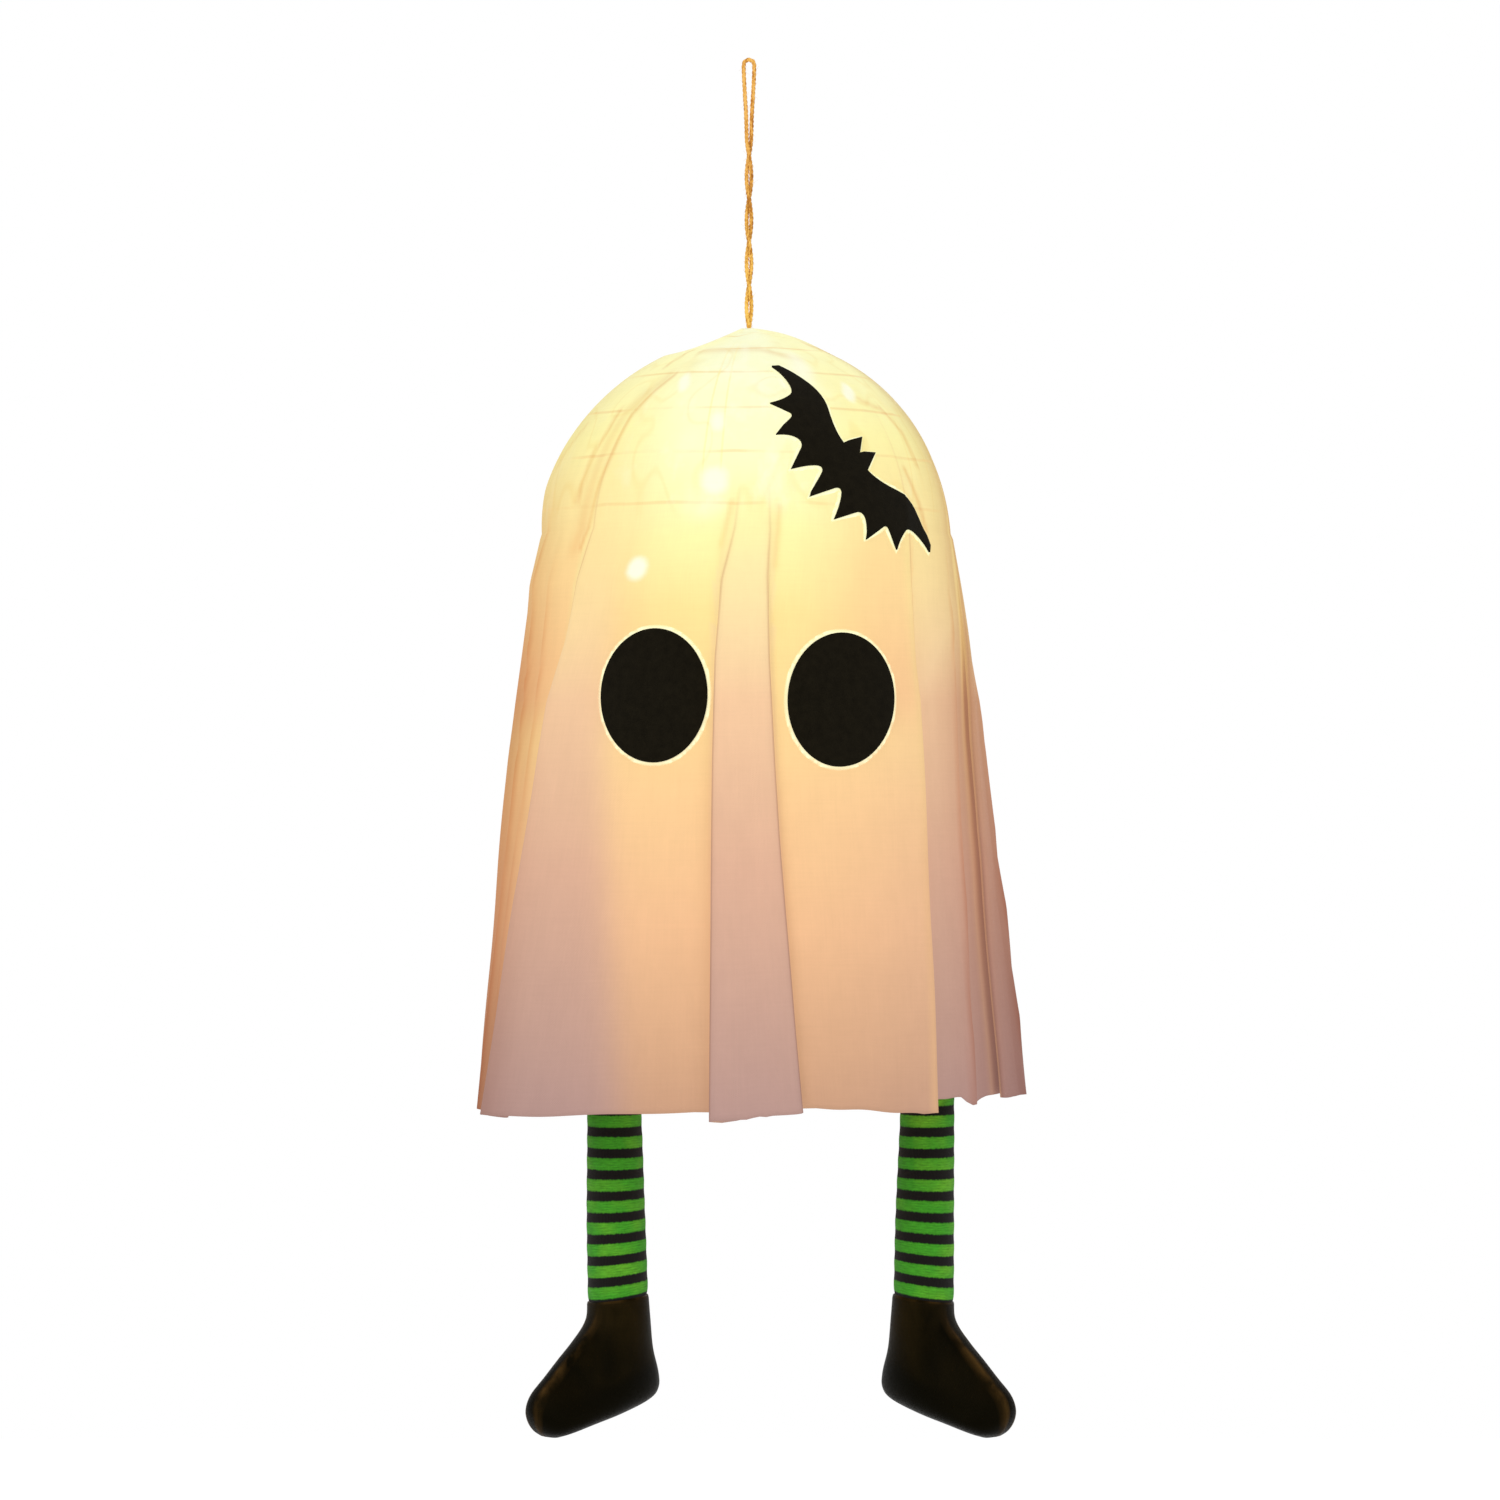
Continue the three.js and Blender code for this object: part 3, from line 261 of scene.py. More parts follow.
def smooth_rows(table, places):
    """Rows on a smooth curve through the table's rows, each at a share t of the way on from row k."""
    table = np.asarray(table, float)
    ends = np.vstack([2 * table[0] - table[1], table, 2 * table[-1] - table[-2]])
    found = []
    for k, t in places:
        a, b, c, d = ends[k:k + 4]
        bend, twist = 2 * a - 5 * b + 4 * c - d, 3 * b - a - 3 * c + d
        found.append(0.5 * (2 * b + (c - a) * t + bend * t**2 + twist * t**3))
    return found


def curve_through(points, steps):
    """A smooth line through the points, resampled to even steps."""
    shares = np.linspace(0, 1, 12, endpoint=False)
    line = smooth_rows(points, [(k, t) for k in range(len(points) - 1) for t in shares])
    line = np.array([*line, points[-1]])
    reach = lengths_along(line)
    even = np.linspace(0, reach[-1], steps)
    return np.stack([np.interp(even, reach, line[:, k]) for k in range(3)], 1)


def wrapped(degrees):
    """The same angles, from -180 to 180."""
    return (degrees + 180) % 360 - 180


def bell(away, half):
    """1 at no distance, and fading with it; about a third is left at the half width."""
    return np.exp(-((away / half) ** 2))


def eased(value, low, high):
    """0 below low and 1 above high, with a smooth run between."""
    part = np.clip((value - low) / (high - low), 0, 1)
    return part * part * (3 - 2 * part)


def rising(value, middle, soft):
    """From 0 far below the middle to 1 far above it."""
    return 1 / (1 + np.exp(-(value - middle) / soft))


def rope(name, path, radius, plies=3, lay=7 * MM, sides=24):
    """A laid cord: round plies that turn about the path."""
    _, across, up = carried_frames(path)
    angle = np.linspace(0, FULL_TURN, sides, endpoint=False)
    ply = 0.54 * radius
    off = radius - ply
    rings = []
    for point, right, rise, run in zip(path, across, up, lengths_along(path)):
        turn = angle - FULL_TURN * run / lay
        near = (turn + math.pi / plies) % (FULL_TURN / plies) - math.pi / plies
        reach = off * np.cos(near) + np.sqrt(np.maximum(ply**2 - (off * np.sin(near)) ** 2, 0))
        ways = np.cos(angle)[:, None] * right + np.sin(angle)[:, None] * rise
        rings.append(point + reach[:, None] * ways)
    return loft(name, rings)


def loose_fibres(name, path, radius, count, length, seed):
    """Fine fibres that stand out of a cord, each a tapered hair of three sides."""
    draw = np.random.default_rng(seed)
    tangents, across, up = carried_frames(path)
    points, faces = [], []
    for _ in range(count):
        at = draw.integers(4, len(path) - 4)
        turn = draw.uniform(0, FULL_TURN)
        out = math.cos(turn) * across[at] + math.sin(turn) * up[at]
        way = tangents[at] * draw.choice([-1, 1]) * draw.uniform(0.5, 1) + out * draw.uniform(0.2, 0.7)
        reach = length * draw.uniform(0.4, 1)
        root = path[at] + out * radius * 0.85
        side = np.cross(way, out)
        side /= np.linalg.norm(side)
        bend = draw.uniform(-0.3, 0.5)
        start = len(points)
        for part, thick in ((0, 0.06), (0.5, 0.045), (1, 0.015)):
            middle = root + way * reach * part + out * bend * reach * part**2
            for k in range(3):
                spin = FULL_TURN * k / 3
                points.append(middle + thick * MM * (math.cos(spin) * side + math.sin(spin) * out))
        for row in (0, 3):
            for k in range(3):
                a, b = start + row + k, start + row + (k + 1) % 3
                faces.append([a, b, b + 3, a + 3])
        faces += [[start + 2, start + 1, start], [start + 6, start + 7, start + 8]]
    return face_out(mesh_object(name, points, faces))


def wire_ring(name, radius, wire, height, sides=10, steps=96):
    """A level ring of round wire."""
    turn = np.linspace(0, FULL_TURN, steps, endpoint=False)[:, None]
    spin = np.linspace(0, FULL_TURN, sides, endpoint=False)[None, :]
    reach = radius + wire / 2 * np.cos(spin)
    z = height + wire / 2 * np.sin(spin) + 0 * turn
    points = np.stack([reach * np.cos(turn), reach * np.sin(turn), z], 2).reshape(-1, 3)
    faces = []
    for i in range(steps):
        for j in range(sides):
            a, b = i * sides + j, i * sides + (j + 1) % sides
            c = ((i + 1) % steps) * sides
            faces.append([a, c + j, c + (j + 1) % sides, b])
    return face_out(mesh_object(name, points, faces))


def dress(piece, body, finish, slot, *nodes):
    """Gives a piece its material and its body, and hides the nodes that it stands for; the slot is not used.
    """
    piece.data.materials.clear()
    piece.data.materials.append(finish)
    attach(piece, body)
    if nodes:
        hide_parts(*nodes)
    return piece


def bevelled(piece, width, degrees):
    """Takes off the edges of a piece that turn by more than the angle."""
    edge = piece.modifiers.new("edges", "BEVEL")
    edge.width, edge.segments = width, 2
    edge.limit_method, edge.angle_limit = "ANGLE", math.radians(degrees)
    return edge


def finish_nodes(names, finish, bevel=0.0):
    """Gives carried-over nodes their material, smooth round faces and a little radius on their edges."""
    for name in names:
        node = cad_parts[name]
        node.data.materials.clear()
        node.data.materials.append(finish)
        node.data.polygons.foreach_set("use_smooth", [True] * len(node.data.polygons))
        if bevel:
            bevelled(node, bevel, 40).harden_normals = True
        else:
            node.data.set_sharp_from_angle(angle=math.radians(65))


# Material helpers

class Nodes:
    """Adds and joins the nodes of one material or group."""

    def __init__(self, tree):
        self.tree = tree

    def feed(self, socket, value):
        if isinstance(value, bpy.types.NodeSocket):
            self.tree.links.new(value, socket)
        elif hasattr(socket.default_value, "__len__") and len(value) < len(socket.default_value):
            socket.default_value = (*value, 1)
        else:
            socket.default_value = value

    def add(self, kind, inputs=(), **settings):
        node = self.tree.nodes.new(kind)
        for name, value in settings.items():
            setattr(node, name, value)
        for name, value in dict(inputs).items():
            self.feed(node.inputs[name], value)
        return node

    def math(self, operation, *values, clamp=False):
        node = self.add("ShaderNodeMath", operation=operation, use_clamp=clamp)
        for socket, value in zip(node.inputs, values):
            self.feed(socket, value)
        return node.outputs[0]

    def times(self, value, *others):
        for other in others:
            value = self.math("MULTIPLY", value, other)
        return value

    def plus(self, value, *others):
        for other in others:
            value = self.math("ADD", value, other)
        return value

    def away(self, value, middle):
        """The distance of a value from a middle one."""
        return self.math("ABSOLUTE", self.math("SUBTRACT", value, middle))

    def swing(self, noise, reach):
        """A noise of 0 to 1 as a shift to both sides of 0."""
        return self.times(self.math("SUBTRACT", noise, 0.5), reach)

    def across(self, x, y):
        return self.math("SQRT", self.plus(self.times(x, x), self.times(y, y)))

    def degrees(self, rise, run):
        return self.times(self.math("ARCTAN2", rise, run), 180 / math.pi)

    def mix(self, share, first, second, blend="MIX"):
        node = self.add("ShaderNodeMix", data_type="RGBA", blend_type=blend, clamp_result=True)
        for index, value in ((0, share), (6, first), (7, second)):
            self.feed(node.inputs[index], value)
        return node.outputs[2]

    def tinted(self, colour, tint, share=1.0):
        return self.mix(share, colour, tint, "MULTIPLY")

    def grey(self, level):
        return self.add("ShaderNodeCombineColor", {0: level, 1: level, 2: level}).outputs[0]

    def shaded(self, colour, share):
        """The colour times 1 plus a share that varies over the surface."""
        level = self.grey(self.plus(share, 1))
        return self.add("ShaderNodeVectorMath", {0: colour, 1: level}, operation="MULTIPLY").outputs[0]

    def span(self, value, low, high, to_low=0.0, to_high=1.0, smooth=False):
        kind = "SMOOTHSTEP" if smooth else "LINEAR"
        node = self.add("ShaderNodeMapRange", interpolation_type=kind)
        for index, given in enumerate((value, low, high, to_low, to_high)):
            self.feed(node.inputs[index], given)
        return node.outputs[0]

    def ramp(self, value, stops):
        node = self.add("ShaderNodeValToRGB", {"Fac": value})
        elements = node.color_ramp.elements
        while len(elements) < len(stops):
            elements.new(0.5)
        for element, (place, colour) in zip(elements, stops):
            element.position, element.color = place, (*colour, 1)
        return node.outputs[0]

    def noise(self, vector, scale, detail=2.0, rough=0.5):
        inputs = {"Vector": vector, "Scale": scale, "Detail": detail, "Roughness": rough}
        return self.add("ShaderNodeTexNoise", inputs).outputs[0]

    def place(self):
        return self.add("ShaderNodeTexCoord").outputs["Object"]

    def uv(self):
        return self.add("ShaderNodeUVMap", uv_map="UVMap").outputs[0]

    def stretched(self, vector, by):
        return self.add("ShaderNodeVectorMath", {0: vector, 1: by}, operation="MULTIPLY").outputs[0]

    def split(self, vector):
        return self.add("ShaderNodeSeparateXYZ", {0: vector}).outputs

    def height(self):
        return self.split(self.place())[2]

    def value_of(self, name):
        return self.add("ShaderNodeAttribute", attribute_name=name).outputs["Fac"]

    def group(self, name, **inputs):
        """Places a shared group, which is built the first time that a material asks for it."""
        tree = bpy.data.node_groups.get(name) or GROUP_MAKERS[name]()
        node = self.add("ShaderNodeGroup", node_tree=tree)
        for socket, value in inputs.items():
            self.feed(node.inputs[socket.title()], value)
        return node.outputs

    def bump(self, height, strength, depth):
        inputs = {"Height": height, "Strength": strength, "Distance": depth}
        return self.add("ShaderNodeBump", inputs).outputs[0]


def new_group(name, inputs, outputs):
    """A shader node group with named sockets; returns it with its builder and its two ends."""
    tree = bpy.data.node_groups.new(name, "ShaderNodeTree")
    for socket, default in inputs.items():
        made = tree.interface.new_socket(socket, in_out="INPUT", socket_type="NodeSocketFloat")
        made.default_value = default
    for socket in outputs:
        tree.interface.new_socket(socket, in_out="OUTPUT", socket_type="NodeSocketFloat")
    nodes = Nodes(tree)
    return tree, nodes, nodes.add("NodeGroupInput").outputs, nodes.add("NodeGroupOutput").inputs


def weave_group():
    """Threads over and under: a height, and a shade that varies from thread to thread."""
    tree, n, given, out = new_group("weave", {"Pitch": 0.5 * MM, "Slub": 0.5}, ["Height", "Shade"])
    uv = n.uv()
    u, v, _ = n.split(uv)
    warp, weft = (n.math("SINE", n.math("DIVIDE", n.times(run, math.pi), given["Pitch"])) for run in (u, v))
    n.feed(out["Height"], n.plus(n.times(warp, weft, 0.5), n.math("ABSOLUTE", warp)))
    long_way, cross_way = (n.noise(n.stretched(uv, by), 1, 1) for by in ((900, 30, 1), (30, 900, 1)))
    n.feed(out["Shade"], n.times(n.math("SUBTRACT", n.plus(long_way, cross_way), 1), given["Slub"]))
    return tree


def fibre_group():
    """Matted or drawn fibres: a height and a mask, finer or coarser by Scale."""
    tree, n, given, out = new_group("fibres", {"Scale": 1200, "Stretch": 1}, ["Height", "Mask"])
    x, y, z = n.split(n.place())
    squeezed = n.add("ShaderNodeCombineXYZ", {0: x, 1: y, 2: n.times(z, given["Stretch"])}).outputs[0]
    fine = n.noise(squeezed, given["Scale"], 4, 0.65)
    broad = n.noise(squeezed, n.times(given["Scale"], 0.17), 3, 0.55)
    n.feed(out["Height"], n.plus(n.times(fine, 0.65), n.times(broad, 0.35)))
    n.feed(out["Mask"], n.span(n.plus(fine, broad), 0.75, 1.25))
    return tree


def metal_group():
    """Drawn metal: fine lines, dull patches and a height."""
    tree, n, given, out = new_group("drawn_metal", {"Roughness": 0.3}, ["Roughness", "Height", "Dull"])
    place = n.place()
    dull = n.noise(place, 160, 4, 0.6)
    n.feed(out["Roughness"], n.math("ADD", given["Roughness"], n.swing(dull, 0.35), clamp=True))
    n.feed(out["Height"], n.noise(n.stretched(place, (1, 1, 14)), 500, 3))
    n.feed(out["Dull"], n.span(dull, 0.35, 0.7))
    return tree


def grain_group():
    """Spark-finished plastic: a fine grain, and handling marks for the roughness."""
    inputs = {"Scale": 1800, "Roughness": 0.4}
    tree, n, given, out = new_group("moulded_grain", inputs, ["Roughness", "Height"])
    place = n.place()
    marks = n.noise(n.stretched(place, (1, 1, 0.3)), 90, 5, 0.7)
    n.feed(out["Height"], n.noise(place, given["Scale"], 2, 0.6))
    n.feed(out["Roughness"], n.math("ADD", given["Roughness"], n.swing(marks, 0.3), clamp=True))
    return tree


SEAM_AZIMUTH = -10.5  # degrees round from the front to the middle of the paper's seam
SEAM_HALF = 2.6  # degrees from there to each of its edges


def lantern_group():
    """Masks for painted shadow lines of the lantern: its rib wires and the edges of its paper's seam,
    wandering a little.
    """
    inputs = {"Line": 0.6 * MM, "Wander": 0.5}
    tree, n, given, out = new_group("lantern_shadow_lines", inputs, ["Ribs", "Seam"])
    place = n.place()
    x, y, z = n.split(place)
    wander = n.times(n.swing(n.noise(place, 26, 3), 0.01), given["Wander"])
    across = n.across(x, y)
    latitude = n.degrees(n.plus(n.math("SUBTRACT", z, LANTERN.z), wander), across)
    phase = n.math("FRACT", n.math("DIVIDE", latitude, RIB_PITCH))
    off = n.times(n.away(phase, 0.5), math.radians(RIB_PITCH) * PAPER_RADIUS)
    n.feed(out["Ribs"], n.span(n.math("DIVIDE", off, given["Line"]), 1.0, 0.3, smooth=True))
    azimuth = n.degrees(x, n.times(y, -1))
    aside = n.away(n.plus(azimuth, n.times(wander, 300)), SEAM_AZIMUTH)
    n.feed(out["Seam"], n.span(n.times(n.away(aside, SEAM_HALF), across), 0.045, 0.012, smooth=True))
    return tree


GROUP_MAKERS = {"weave": weave_group, "fibres": fibre_group, "drawn_metal": metal_group,
                "moulded_grain": grain_group, "lantern_shadow_lines": lantern_group}


def material(name, **constants):
    """A material with one Principled shader whose plain values are set on its own sockets."""
    made = bpy.data.materials.new(name)
    made.use_nodes = True
    n = Nodes(made.node_tree)
    shader = next(node for node in made.node_tree.nodes if node.type == "BSDF_PRINCIPLED")
    for socket, value in constants.items():
        n.feed(shader.inputs[socket.replace("_", " ").title().replace("Ior", "IOR")], value)
    return made, n, shader.inputs


# Painted light and shade of the cloth by height, from the dome down to the hem: one layer lets more light
# through, and reads warm, and two layers read mauve.
SINGLE_LAYER_GLOW = [
    (-0.131, (253, 254, 214)), (-0.2, (254, 254, 200)), (-0.24, (254, 246, 172)), (-0.28, (254, 227, 152)),
    (-0.365, (253, 208, 150)), (-0.43, (246, 194, 147)), (-0.52, (208, 161, 130)),
]
DOUBLED_LAYER_GLOW = [
    (-0.131, (253, 250, 165)), (-0.22, (252, 244, 174)), (-0.27, (251, 227, 167)), (-0.32, (243, 200, 158)),
    (-0.4, (226, 179, 151)), (-0.52, (189, 152, 143)),
]
# Painted shade towards the sides of the dome, where one layer is seen aslant and reads deeper.
LIMB_SHADE = [
    (-0.131, (253, 252, 200)), (-0.19, (254, 245, 172)), (-0.25, (253, 217, 151)), (-0.3, (250, 201, 143)),
    (-0.365, (248, 197, 144)), (-0.52, (205, 157, 129)),
]


def painted_cloth_light(n, place, height):
    """The cloth's painted light by height, with painted shade by the layers that dim the light and by how far
    it turns aside.
    """
    limb, veil, side = (n.value_of(name) for name in ("limb", "veil", "side"))
    top, bottom = SINGLE_LAYER_GLOW[0][0], SINGLE_LAYER_GLOW[-1][0]
    uneven = n.span(n.noise(place, 14, 2), 0.2, 0.8, -0.006, 0.006)
    part = n.span(n.plus(height, uneven), bottom, top)

    def ladder(stops):
        placed = sorted(((z - bottom) / (top - bottom), linear(*colour)) for z, colour in stops)
        return n.ramp(part, placed)

    # Painted shade: where the dome is seen aslant, where the cloth lies doubled or deeper, and towards its
    # sides.
    single = n.mix(limb, ladder(SINGLE_LAYER_GLOW), ladder(LIMB_SHADE))
    colour = n.mix(n.math("MINIMUM", veil, 1), single, ladder(DOUBLED_LAYER_GLOW))
    colour = n.tinted(colour, linear(206, 186, 192), n.math("SUBTRACT", veil, 1, clamp=True))
    return n.tinted(colour, linear(200, 168, 150), side)


def with_painted_dome_light(n, colour, place, height):
    """Adds painted light and shade over the dome: the shadows of the rib wires and the paper's seam, bright
    patches of glow and fine lines of shade.
    """
    marks = n.group("lantern_shadow_lines", line=1.1 * MM, wander=0.35)
    on_dome = n.span(height, -0.236, -0.222, smooth=True)
    # Painted shadows of the rib wires and of the paper's seam, seen through the cloth.
    rib_shadows = n.times(marks["Ribs"], on_dome, n.span(n.noise(place, 30, 2), 0.35, 0.6))
    colour = n.mix(n.times(rib_shadows, 0.5), colour, linear(243, 205, 138))
    upper, lower = n.span(height, -0.224, -0.2, smooth=True), n.span(height, -0.14, -0.16)
    colour = n.mix(n.times(marks["Seam"], upper, lower, 0.4), colour, linear(252, 236, 150))
    # Painted light: bright patches of glow over the dome.
    glow_patches = n.span(n.noise(n.stretched(place, (1, 1, 0.6)), 55, 4, 0.6), 0.52, 0.72)
    glow_patches = n.times(glow_patches, on_dome, n.span(n.value_of("limb"), 0, 1, 0.5, 0.12))
    colour = n.mix(glow_patches, colour, linear(255, 255, 228))
    # Painted shade in fine crumples over the dome.
    lines = n.away(n.noise(n.stretched(place, (1.3, 1.3, 0.35)), 30, 1, 0.4), 0.5)
    crumple_shade = n.times(n.span(lines, 0.03, 0.0, smooth=True), on_dome, 0.18)
    return n.tinted(colour, linear(244, 220, 176), crumple_shade)


def with_painted_fold_light(n, colour, height):
    """Adds painted shade in the wrinkles and along the line of each fold, a painted highlight on its lit rim,
    and the painted bright spots of the lamps.
    """
    wrinkle, crease, rim, hot = (n.value_of(name) for name in ("wrinkle", "crease", "rim", "hot"))
    # Painted shade in the wrinkles and along each fold's line, and a painted highlight on the lit rims.
    colour = n.tinted(colour, linear(236, 198, 176), n.times(wrinkle, 0.75))
    upward = n.span(height, -0.4, -0.2)
    line = n.mix(upward, linear(158, 112, 96), linear(226, 172, 116))
    colour = n.mix(n.times(crease, 0.55), colour, line)
    lit = n.mix(upward, linear(240, 190, 140), linear(255, 238, 160))
    colour = n.mix(n.times(rim, 0.55), colour, lit)
    # Painted bright spots of the lamps.
    return n.mix(n.span(hot, 0.35, 0.95, smooth=True), colour, linear(255, 254, 226))


def cloth_material(settings):
    """Thin plain weave with a painted glow for the lamps' light through it, and painted shade where it lies
    doubled.
    """
    made, n, shader = material("cloth", roughness=0.9, specular_ior_level=0.15)
    place = n.place()
    height = n.split(place)[2]
    colour = with_painted_dome_light(n, painted_cloth_light(n, place, height), place, height)
    colour = with_painted_fold_light(n, colour, height)
    weave = n.group("weave", pitch=settings.thread, slub=0.045)
    mottle = n.noise(n.stretched(place, (1, 1, 0.45)), 120, 5, 0.62)
    colour = n.shaded(colour, n.plus(weave["Shade"], n.swing(mottle, 0.1)))
    # Painted glow: the emission stands in for the lamps' light through the cloth, less of it towards the hem.
    glow_fall = n.span(height, HEM, -0.22, 0.82, 1.0, smooth=True)
    n.feed(shader["Base Color"], n.tinted(colour, (1 - settings.glow,) * 3))
    n.feed(shader["Emission Color"], n.tinted(colour, n.grey(glow_fall)))
    n.feed(shader["Emission Strength"], settings.glow)
    n.feed(shader["Normal"], n.bump(weave["Height"], 0.25, 0.2 * MM))
    return made


def twine_material(settings):
    """Jute with pale fibres, warmer with painted light where the lit dome is near, and with dark gaps that
    are painted shade.
    """
    made, n, shader = material("twine", roughness=0.95, specular_ior_level=0.05)
    fibres = n.group("fibres", scale=900, stretch=0.22)
    # Painted light from the lit dome warms the jute near it.
    colour = n.mix(n.span(n.height(), -0.05, -0.13), tuple(settings.colour), tuple(settings.lit_colour))
    colour = n.mix(n.times(fibres["Mask"], 0.5), colour, linear(244, 204, 118))
    # Painted shade in the dark gaps between the fibres.
    n.feed(shader["Base Color"], n.mix(n.span(fibres["Height"], 0.52, 0.4), colour, linear(176, 112, 44)))
    n.feed(shader["Normal"], n.bump(fibres["Height"], 0.7, 0.4 * MM))
    return made


def felt_material(settings):
    """Matted black felt."""
    made, n, shader = material("felt", roughness=0.96, specular_ior_level=0.03, sheen_weight=0.03)
    fibres = n.group("fibres", scale=1500, stretch=1)
    colour = n.mix(n.times(fibres["Mask"], 0.5), tuple(settings.colour), linear(30, 26, 16))
    n.feed(shader["Base Color"], colour)
    n.feed(shader["Normal"], n.bump(fibres["Height"], 0.8, 0.4 * MM))
    return made


def web_material():
    """The bonding web that holds the felt: a thin milky film, with a painted glow for the light that comes
    through it.
    """
    made, n, shader = material("web", roughness=0.55, specular_ior_level=0.3)
    fibres = n.group("fibres", scale=700, stretch=1)
    # Painted glow, brighter higher up, for the light that comes through the film.
    colour = n.mix(n.span(n.height(), -0.36, -0.26), linear(253, 240, 196), linear(255, 253, 206))
    colour = n.mix(n.times(fibres["Mask"], 0.35), colour, linear(255, 250, 205))
    n.feed(shader["Base Color"], n.tinted(colour, (0.6, 0.6, 0.6)))
    n.feed(shader["Emission Color"], colour)
    n.feed(shader["Emission Strength"], 0.5)
    n.feed(shader["Alpha"], n.times(n.value_of("inside"), 0.9))
    return made


def paper_material(settings):
    """Thin fibrous paper with a painted glow, and painted shade along its rib lines and its seam."""
    made, n, shader = material("paper", roughness=0.85, specular_ior_level=0.2)
    fibres = n.group("fibres", scale=260, stretch=0.5)
    marks = n.group("lantern_shadow_lines", line=0.9 * MM, wander=0)
    colour = n.mix(n.times(fibres["Mask"], 0.4), linear(252, 242, 214), linear(255, 250, 232))
    # Painted shade along the rib lines and the seam.
    colour = n.mix(n.times(marks["Ribs"], 0.6), colour, linear(214, 184, 136))
    colour = n.mix(n.times(marks["Seam"], 0.4), colour, linear(240, 214, 168))
    n.feed(shader["Base Color"], colour)
    # Painted glow for the lamps' light through the paper.
    n.feed(shader["Emission Color"], n.tinted(colour, linear(255, 226, 150)))
    n.feed(shader["Emission Strength"], settings.paper_glow)
    n.feed(shader["Normal"], n.bump(fibres["Height"], 0.3, 0.3 * MM))
    return made


def metal_material(name, colour, dull_colour, rough):
    made, n, shader = material(name, metallic=1.0)
    drawn = n.group("drawn_metal", roughness=rough)
    n.feed(shader["Base Color"], n.mix(drawn["Dull"], colour, dull_colour))
    n.feed(shader["Roughness"], drawn["Roughness"])
    n.feed(shader["Normal"], n.bump(drawn["Height"], 0.25, 0.1 * MM))
    return made


def plastic_material(name, colour, scale, rough):
    made, n, shader = material(name, specular_ior_level=0.45)
    grain = n.group("moulded_grain", scale=scale, roughness=rough)
    n.feed(shader["Base Color"], n.shaded(colour, n.span(n.noise(n.place(), 60, 3), 0.3, 0.7, -0.03, 0.03)))
    n.feed(shader["Roughness"], grain["Roughness"])
    n.feed(shader["Normal"], n.bump(grain["Height"], 0.3, 0.1 * MM))
    return made


def lamp_material(settings):
    """A small lamp in a drop of clear resin."""
    made, n, shader = material("lamp", roughness=0.12, coat_weight=0.6, coat_roughness=0.05)
    cloud = n.span(n.noise(n.place(), 500, 3), 0.35, 0.65)
    colour = n.mix(cloud, linear(255, 236, 170), linear(255, 250, 222))
    n.feed(shader["Base Color"], colour)
    n.feed(shader["Emission Color"], colour)
    n.feed(shader["Emission Strength"], settings.lamp_strength)
    return made


def cell_material(name, wrap, nub_up):
    """A battery: a plain wrapped can with a darker band at its flat end and bare metal at both ends."""
    made, n, shader = material(name)
    low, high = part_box(name)
    foot, tip = (low.z, high.z) if nub_up else (high.z, low.z)
    part = n.span(n.height(), foot, tip)
    bare = n.math("GREATER_THAN", n.away(part, 0.5), 0.465)
    colour = n.mix(n.math("LESS_THAN", part, 0.3), tuple(wrap), linear(34, 36, 42))
    colour = n.mix(n.math("COMPARE", part, 0.3, 0.012), colour, linear(206, 208, 210))
    n.feed(shader["Base Color"], n.mix(bare, colour, linear(200, 200, 198)))
    n.feed(shader["Metallic"], bare)
    n.feed(shader["Roughness"], n.group("drawn_metal", roughness=0.3)["Roughness"])
    return made


STRIPE_BLUR = 0.045  # of a pair of stripes, to both sides of an edge
COURSE = 1.3 * MM  # from one row of the knit to the next
WALE = 1.7 * MM  # from one column of the knit to the next


def stocking_material(settings):
    """Ribbed knit in black and green stripes."""
    made, n, shader = material("stocking", roughness=0.92, specular_ior_level=0.15, sheen_weight=0.05)
    uv = n.uv()
    u, v, _ = n.split(uv)
    fray = n.span(n.noise(n.stretched(uv, (700, 120, 1)), 1, 2), 0.3, 0.7, -0.018, 0.018)
    off = n.away(n.math("FRACT", n.plus(n.value_of("down"), fray)), 0.5)
    edge = 0.5 - settings.black_share / 2
    black = n.span(off, edge + STRIPE_BLUR, edge - STRIPE_BLUR, 1, 0, smooth=True)
    course = n.math("SINE", n.times(v, FULL_TURN / COURSE))
    wale = n.math("SINE", n.times(u, FULL_TURN / WALE))
    yarn = n.noise(n.stretched(uv, (240, 1500, 1)), 1, 3, 0.6)
    cloud = n.span(n.noise(n.place(), 45, 2), 0.45, 0.75)
    green = n.mix(cloud, tuple(settings.green), linear(96, 164, 38))
    green = n.shaded(green, n.plus(n.swing(yarn, 1.3), n.times(course, 0.07)))
    n.feed(shader["Base Color"], n.mix(black, green, tuple(settings.black)))
    weight = n.plus(n.math("ABSOLUTE", course), n.times(n.math("ABSOLUTE", wale), 0.8))
    n.feed(shader["Normal"], n.bump(weight, 0.5, 0.4 * MM))
    return made


